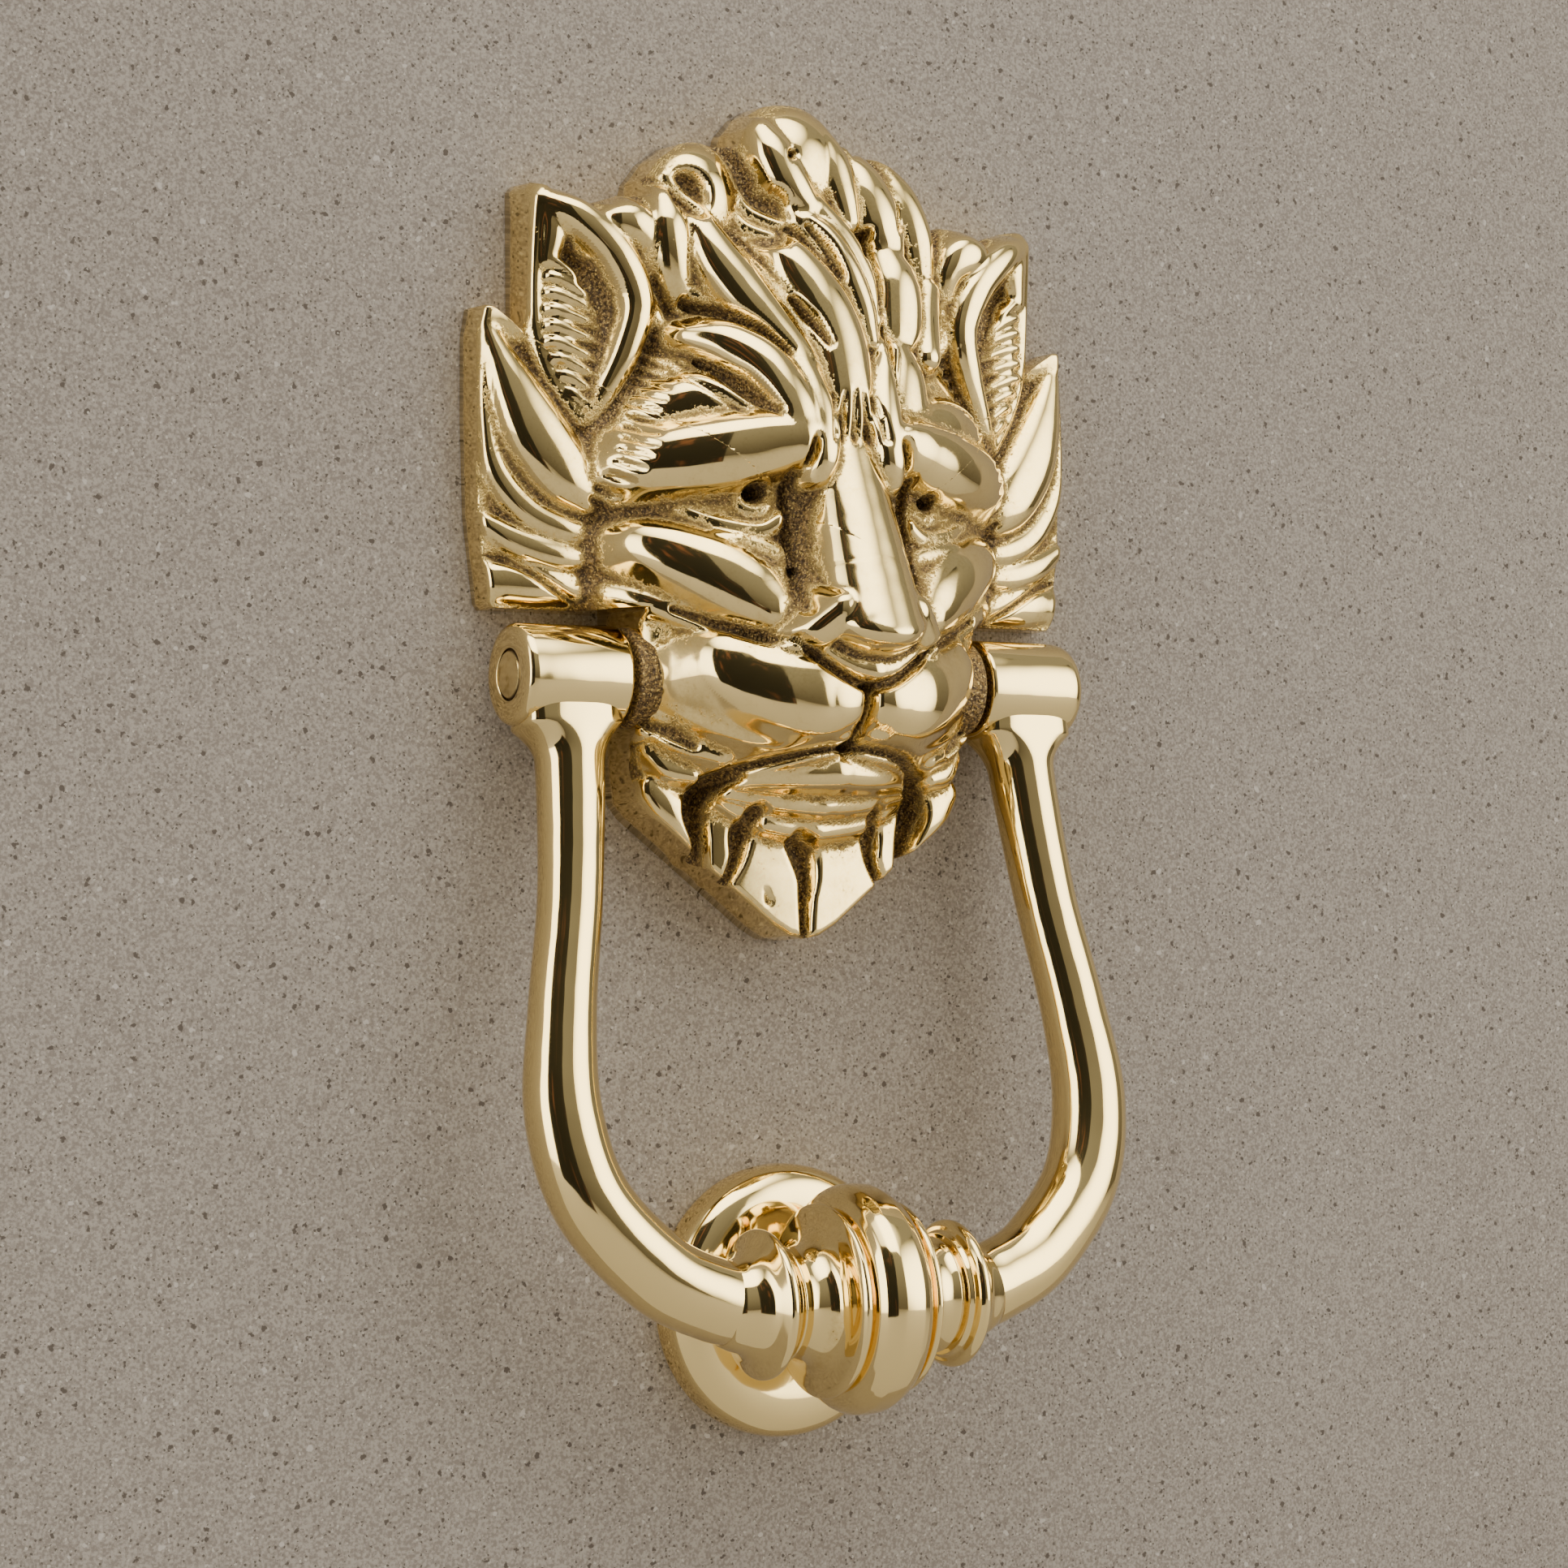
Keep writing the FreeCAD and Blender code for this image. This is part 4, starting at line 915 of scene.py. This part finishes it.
# ---------------------------------------------------------------- the wall, floor, lights and camera
# A pale warm grey wall of fine sanded stone against the mask's back, seen from its front only, and
# a pale floor below. Soft studio light from above, both sides and behind, and a dark screen between
# the left light and the camera.
SQUARE = ((-1, -1), (1, -1), (1, 1), (-1, 1))


def stage_sheet(name, corners):
    """A flat sheet of the stage through four corners, in metres."""
    mesh = bpy.data.meshes.new(name)
    mesh.from_pydata(corners, [], [(0, 1, 2, 3)])
    made = bpy.data.objects.new(name, mesh)
    bpy.context.scene.collection.objects.link(made)
    return made


def wall_stone():
    """Fine warm grey stone: sand grains of a few tenths of a millimetre, darker pinholes, pale
    flecks and a slow cloudiness."""
    finish, tree, shader = finish_nodes("sanded_stone")
    place = add_node(tree, "TexCoord").outputs["Object"]
    clouds = grain(tree, place, 9.0, 3.0)
    grains = grain(tree, place, 2600.0, 1.0, 0.5)
    base = blend_colours(tree, fade(tree, clouds, 0.25, 0.75),
                         (0.315, 0.276, 0.238, 1), (0.365, 0.326, 0.282, 1))
    sand = blend_colours(tree, fade(tree, grains, 0.32, 0.68),
                         (0.19, 0.163, 0.14, 1), (0.50, 0.455, 0.40, 1))
    colour = blend_colours(tree, 0.5, base, sand)
    for cells_per_metre, share, size, speck_colour in (
        (620.0, 0.26, 0.20, (0.115, 0.095, 0.078, 1)),
        (1500.0, 0.30, 0.26, (0.13, 0.11, 0.09, 1)),
        (480.0, 0.14, 0.15, (0.56, 0.52, 0.47, 1)),
        (1300.0, 0.22, 0.22, (0.54, 0.50, 0.44, 1)),
    ):
        cells = add_node(tree, "TexVoronoi", [("Vector", place), ("Scale", cells_per_metre)])
        chance = add_node(tree, "SeparateColor", [(0, cells.outputs["Color"])]).outputs[0]
        uneven = calc(tree, "MULTIPLY_ADD", grain(tree, place, 3.0 * cells_per_metre, 1.0), 0.7, -0.35)
        off_speck = calc(tree, "ADD", cells.outputs["Distance"], uneven)
        speck = calc(tree, "MULTIPLY", fade(tree, off_speck, size - 0.06, size + 0.06, 1.0, 0.0),
                     fade(tree, chance, 1.0 - share, 1.02 - share))
        colour = blend_colours(tree, speck, colour, speck_colour)
    tree.links.new(colour, shader.inputs["Base Color"])
    shader.inputs["Roughness"].default_value = 0.85
    shader.inputs["Specular IOR Level"].default_value = 0.2
    bump = add_node(tree, "Bump", [("Height", grains), ("Distance", 0.0002), ("Strength", 0.4)])
    tree.links.new(bump.outputs[0], shader.inputs["Normal"])
    clear = add_node(tree, "BsdfTransparent")
    from_behind = add_node(tree, "NewGeometry").outputs["Backfacing"]
    shown = add_node(tree, "MixShader", [(0, from_behind), (1, shader.outputs[0]), (2, clear.outputs[0])])
    tree.links.new(shown.outputs[0], tree.nodes["Material Output"].inputs["Surface"])
    return finish


# In metres: the reach of wall and floor to each side, the floor, the wall's top and its plane.
REACH, FLOOR, WALL_TOP, WALL_PLANE = 1.6, -0.26, 1.4, 0.0002
OPENING = 18.4  # the radius of the opening behind the plate, in millimetres


def wall_with_openings():
    """The wall's face as one flat mesh with an opening just inside the mask's outline and another
    behind the strike plate, which show nothing from the front and let light reach both backs."""
    outline_here = drawn_in(rim_points(np.arange(160) / 160), 0.97) * MM
    turn = np.linspace(0, 2 * np.pi, 48, endpoint=False)
    opening = np.stack([OPENING * np.cos(turn), OPENING * np.sin(turn) + PLATE_HEIGHT], -1) * MM
    corners = np.array([(-REACH, FLOOR), (REACH, FLOOR), (REACH, WALL_TOP), (-REACH, WALL_TOP)])
    shape = bmesh.new()
    for loop in (corners, outline_here, opening):
        verts = [shape.verts.new((x, WALL_PLANE, z)) for x, z in loop]
        for first, second in zip(verts, verts[1:] + verts[:1]):
            shape.edges.new((first, second))
    bmesh.ops.triangle_fill(shape, use_beauty=True, edges=shape.edges[:], normal=(0, -1, 0))
    for face in shape.faces:
        face.normal_update()
        if face.normal.y > 0:
            face.normal_flip()
    mesh = bpy.data.meshes.new("stone_wall")
    shape.to_mesh(mesh)
    shape.free()
    made = bpy.data.objects.new("stone_wall", mesh)
    bpy.context.scene.collection.objects.link(made)
    return made


wall = wall_with_openings()
wall.data.materials.append(wall_stone())
floor = stage_sheet("pale_floor", [(REACH * a, REACH * b, FLOOR) for a, b in SQUARE])
finish, tree, shader = finish_nodes("pale_floor_paint")
shader.inputs["Base Color"].default_value = (0.55, 0.52, 0.48, 1)
shader.inputs["Roughness"].default_value = 0.8
floor.data.materials.append(finish)

# The room itself: dim near the floor and lighter towards the ceiling.
world = bpy.data.worlds.new("studio_room")
bpy.context.scene.world = world
world.use_nodes = True
tree = world.node_tree
all_round = add_node(tree, "TexCoord").outputs["Generated"]
upward = add_node(tree, "SeparateXYZ", [(0, all_round)]).outputs["Z"]
room = blend_colours(tree, fade(tree, upward, -0.5, 0.8), (0.15, 0.118, 0.075, 1), (0.78, 0.73, 0.62, 1))
tree.links.new(room, tree.nodes["Background"].inputs["Color"])
tree.nodes["Background"].inputs["Strength"].default_value = 0.5


def only_reflected(sheet):
    """Let a sheet show in reflections only: unseen by the camera, no light on matt surfaces, no shadow."""
    for other in ("visible_camera", "visible_diffuse", "visible_shadow"):
        setattr(sheet, other, False)


def soft_light(name, place, target, width, tall, watts, glow):
    """A large soft panel light turned towards a point, and on the same spot the bright diffuser
    that polished metal reflects, even in its middle and dim at its rim: glow * exp(-2.4 r^4)."""
    lamp = bpy.data.lights.new(name, "AREA")
    lamp.shape = "RECTANGLE"
    lamp.size, lamp.size_y = width, tall
    lamp.energy = watts
    lamp.color = (1.0, 0.98, 0.95)
    made = bpy.data.objects.new(name, lamp)
    made.visible_glossy = False
    turn_to = (Vector(target) - Vector(place)).to_track_quat("-Z", "Y")
    made.location = place
    made.rotation_euler = turn_to.to_euler()
    bpy.context.scene.collection.objects.link(made)
    facing = turn_to.to_matrix()
    diffuser = stage_sheet(name + "_diffuser", [
        tuple(Vector(place) + facing @ Vector((a * width / 2, b * tall / 2, 0.0))) for a, b in SQUARE])
    only_reflected(diffuser)
    finish, tree, shader = finish_nodes(name + "_diffuser_cloth")
    tree.nodes.remove(shader)
    place_here = add_node(tree, "TexCoord").outputs["Object"]
    distance = add_node(tree, "VectorMath", [(0, place_here), (1, place)], operation="DISTANCE")
    off_middle = calc(tree, "DIVIDE", distance.outputs["Value"], 0.5 * max(width, tall))
    falling = calc(tree, "EXPONENT", calc(tree, "MULTIPLY", calc(tree, "POWER", off_middle, 4.0), -2.4))
    strength = calc(tree, "MULTIPLY", falling, glow)
    lit = add_node(tree, "Emission", [("Color", (1.0, 0.92, 0.70, 1)), ("Strength", strength)])
    tree.links.new(lit.outputs[0], tree.nodes["Material Output"].inputs["Surface"])
    diffuser.data.materials.append(finish)


soft_light("soft_light_above", (-0.15, -0.45, 1.05), (0, 0, 0), 1.7, 0.9, 11.0, 7.0)
soft_light("soft_light_left", (-1.05, -0.25, 0.20), (0, 0, 0), 1.0, 1.5, 8.0, 6.0)
soft_light("soft_light_right", (0.80, -0.85, 0.25), (0, 0, -0.02), 1.2, 1.6, 8.5, 6.5)
soft_light("soft_light_behind", (0.3, 0.9, 0.5), (0, 0.03, 0), 0.8, 0.8, 5.0, 3.0)

# The camera stands to the left of the knocker and a little below it.
turn, rise, roll = math.radians(-30.04), math.radians(-2.64), math.radians(-0.54)
back = Vector((math.sin(turn) * math.cos(rise), -math.cos(turn) * math.cos(rise), math.sin(rise)))
right = (-back).cross(Vector((0, 0, 1))).normalized()
up = right.cross(-back)
camera_data = bpy.data.cameras.new("camera")
camera_data.lens = 87.52
camera_data.sensor_width = 36.0
camera_data.clip_start = 0.01
camera = bpy.data.objects.new("camera", camera_data)
level = math.cos(roll) * right + math.sin(roll) * up
upright = -math.sin(roll) * right + math.cos(roll) * up
aim, distance = Vector((0.00274, 0.0, -0.01381)), 0.54781
spot = aim + back * distance
camera.matrix_world = Matrix((
    (level.x, upright.x, back.x, spot.x), (level.y, upright.y, back.y, spot.y),
    (level.z, upright.z, back.z, spot.z), (0, 0, 0, 1),
))
bpy.context.scene.collection.objects.link(camera)
bpy.context.scene.camera = camera

# The dark screen between the left light and the camera, which polished metal facing it reflects.
screen_turn = math.radians(-45.0)
towards = Vector((math.sin(screen_turn), -math.cos(screen_turn), 0.0))
beside = Vector((math.cos(screen_turn), math.sin(screen_turn), 0.0))
screen_middle = Vector((0, 0, 0.20)) + towards * 0.75
screen = stage_sheet("dark_screen", [
    tuple(screen_middle + beside * a * 0.31 + Vector((0, 0, b * 0.52))) for a, b in SQUARE])
only_reflected(screen)
finish, tree, shader = finish_nodes("dark_cloth")
place = add_node(tree, "TexCoord").outputs["Object"]
folds = add_node(tree, "Mapping", [("Vector", place), ("Scale", (3.0, 3.0, 0.7)),
                                   ("Rotation", (0.0, 0.5, 0.0))])
streaks = fade(tree, grain(tree, folds.outputs[0], 4.0, 3.0), 0.55, 0.70)
tree.links.new(blend_colours(tree, streaks, (0.006, 0.006, 0.005, 1), (0.22, 0.085, 0.045, 1)),
               shader.inputs["Base Color"])
shader.inputs["Roughness"].default_value = 0.9
screen.data.materials.append(finish)
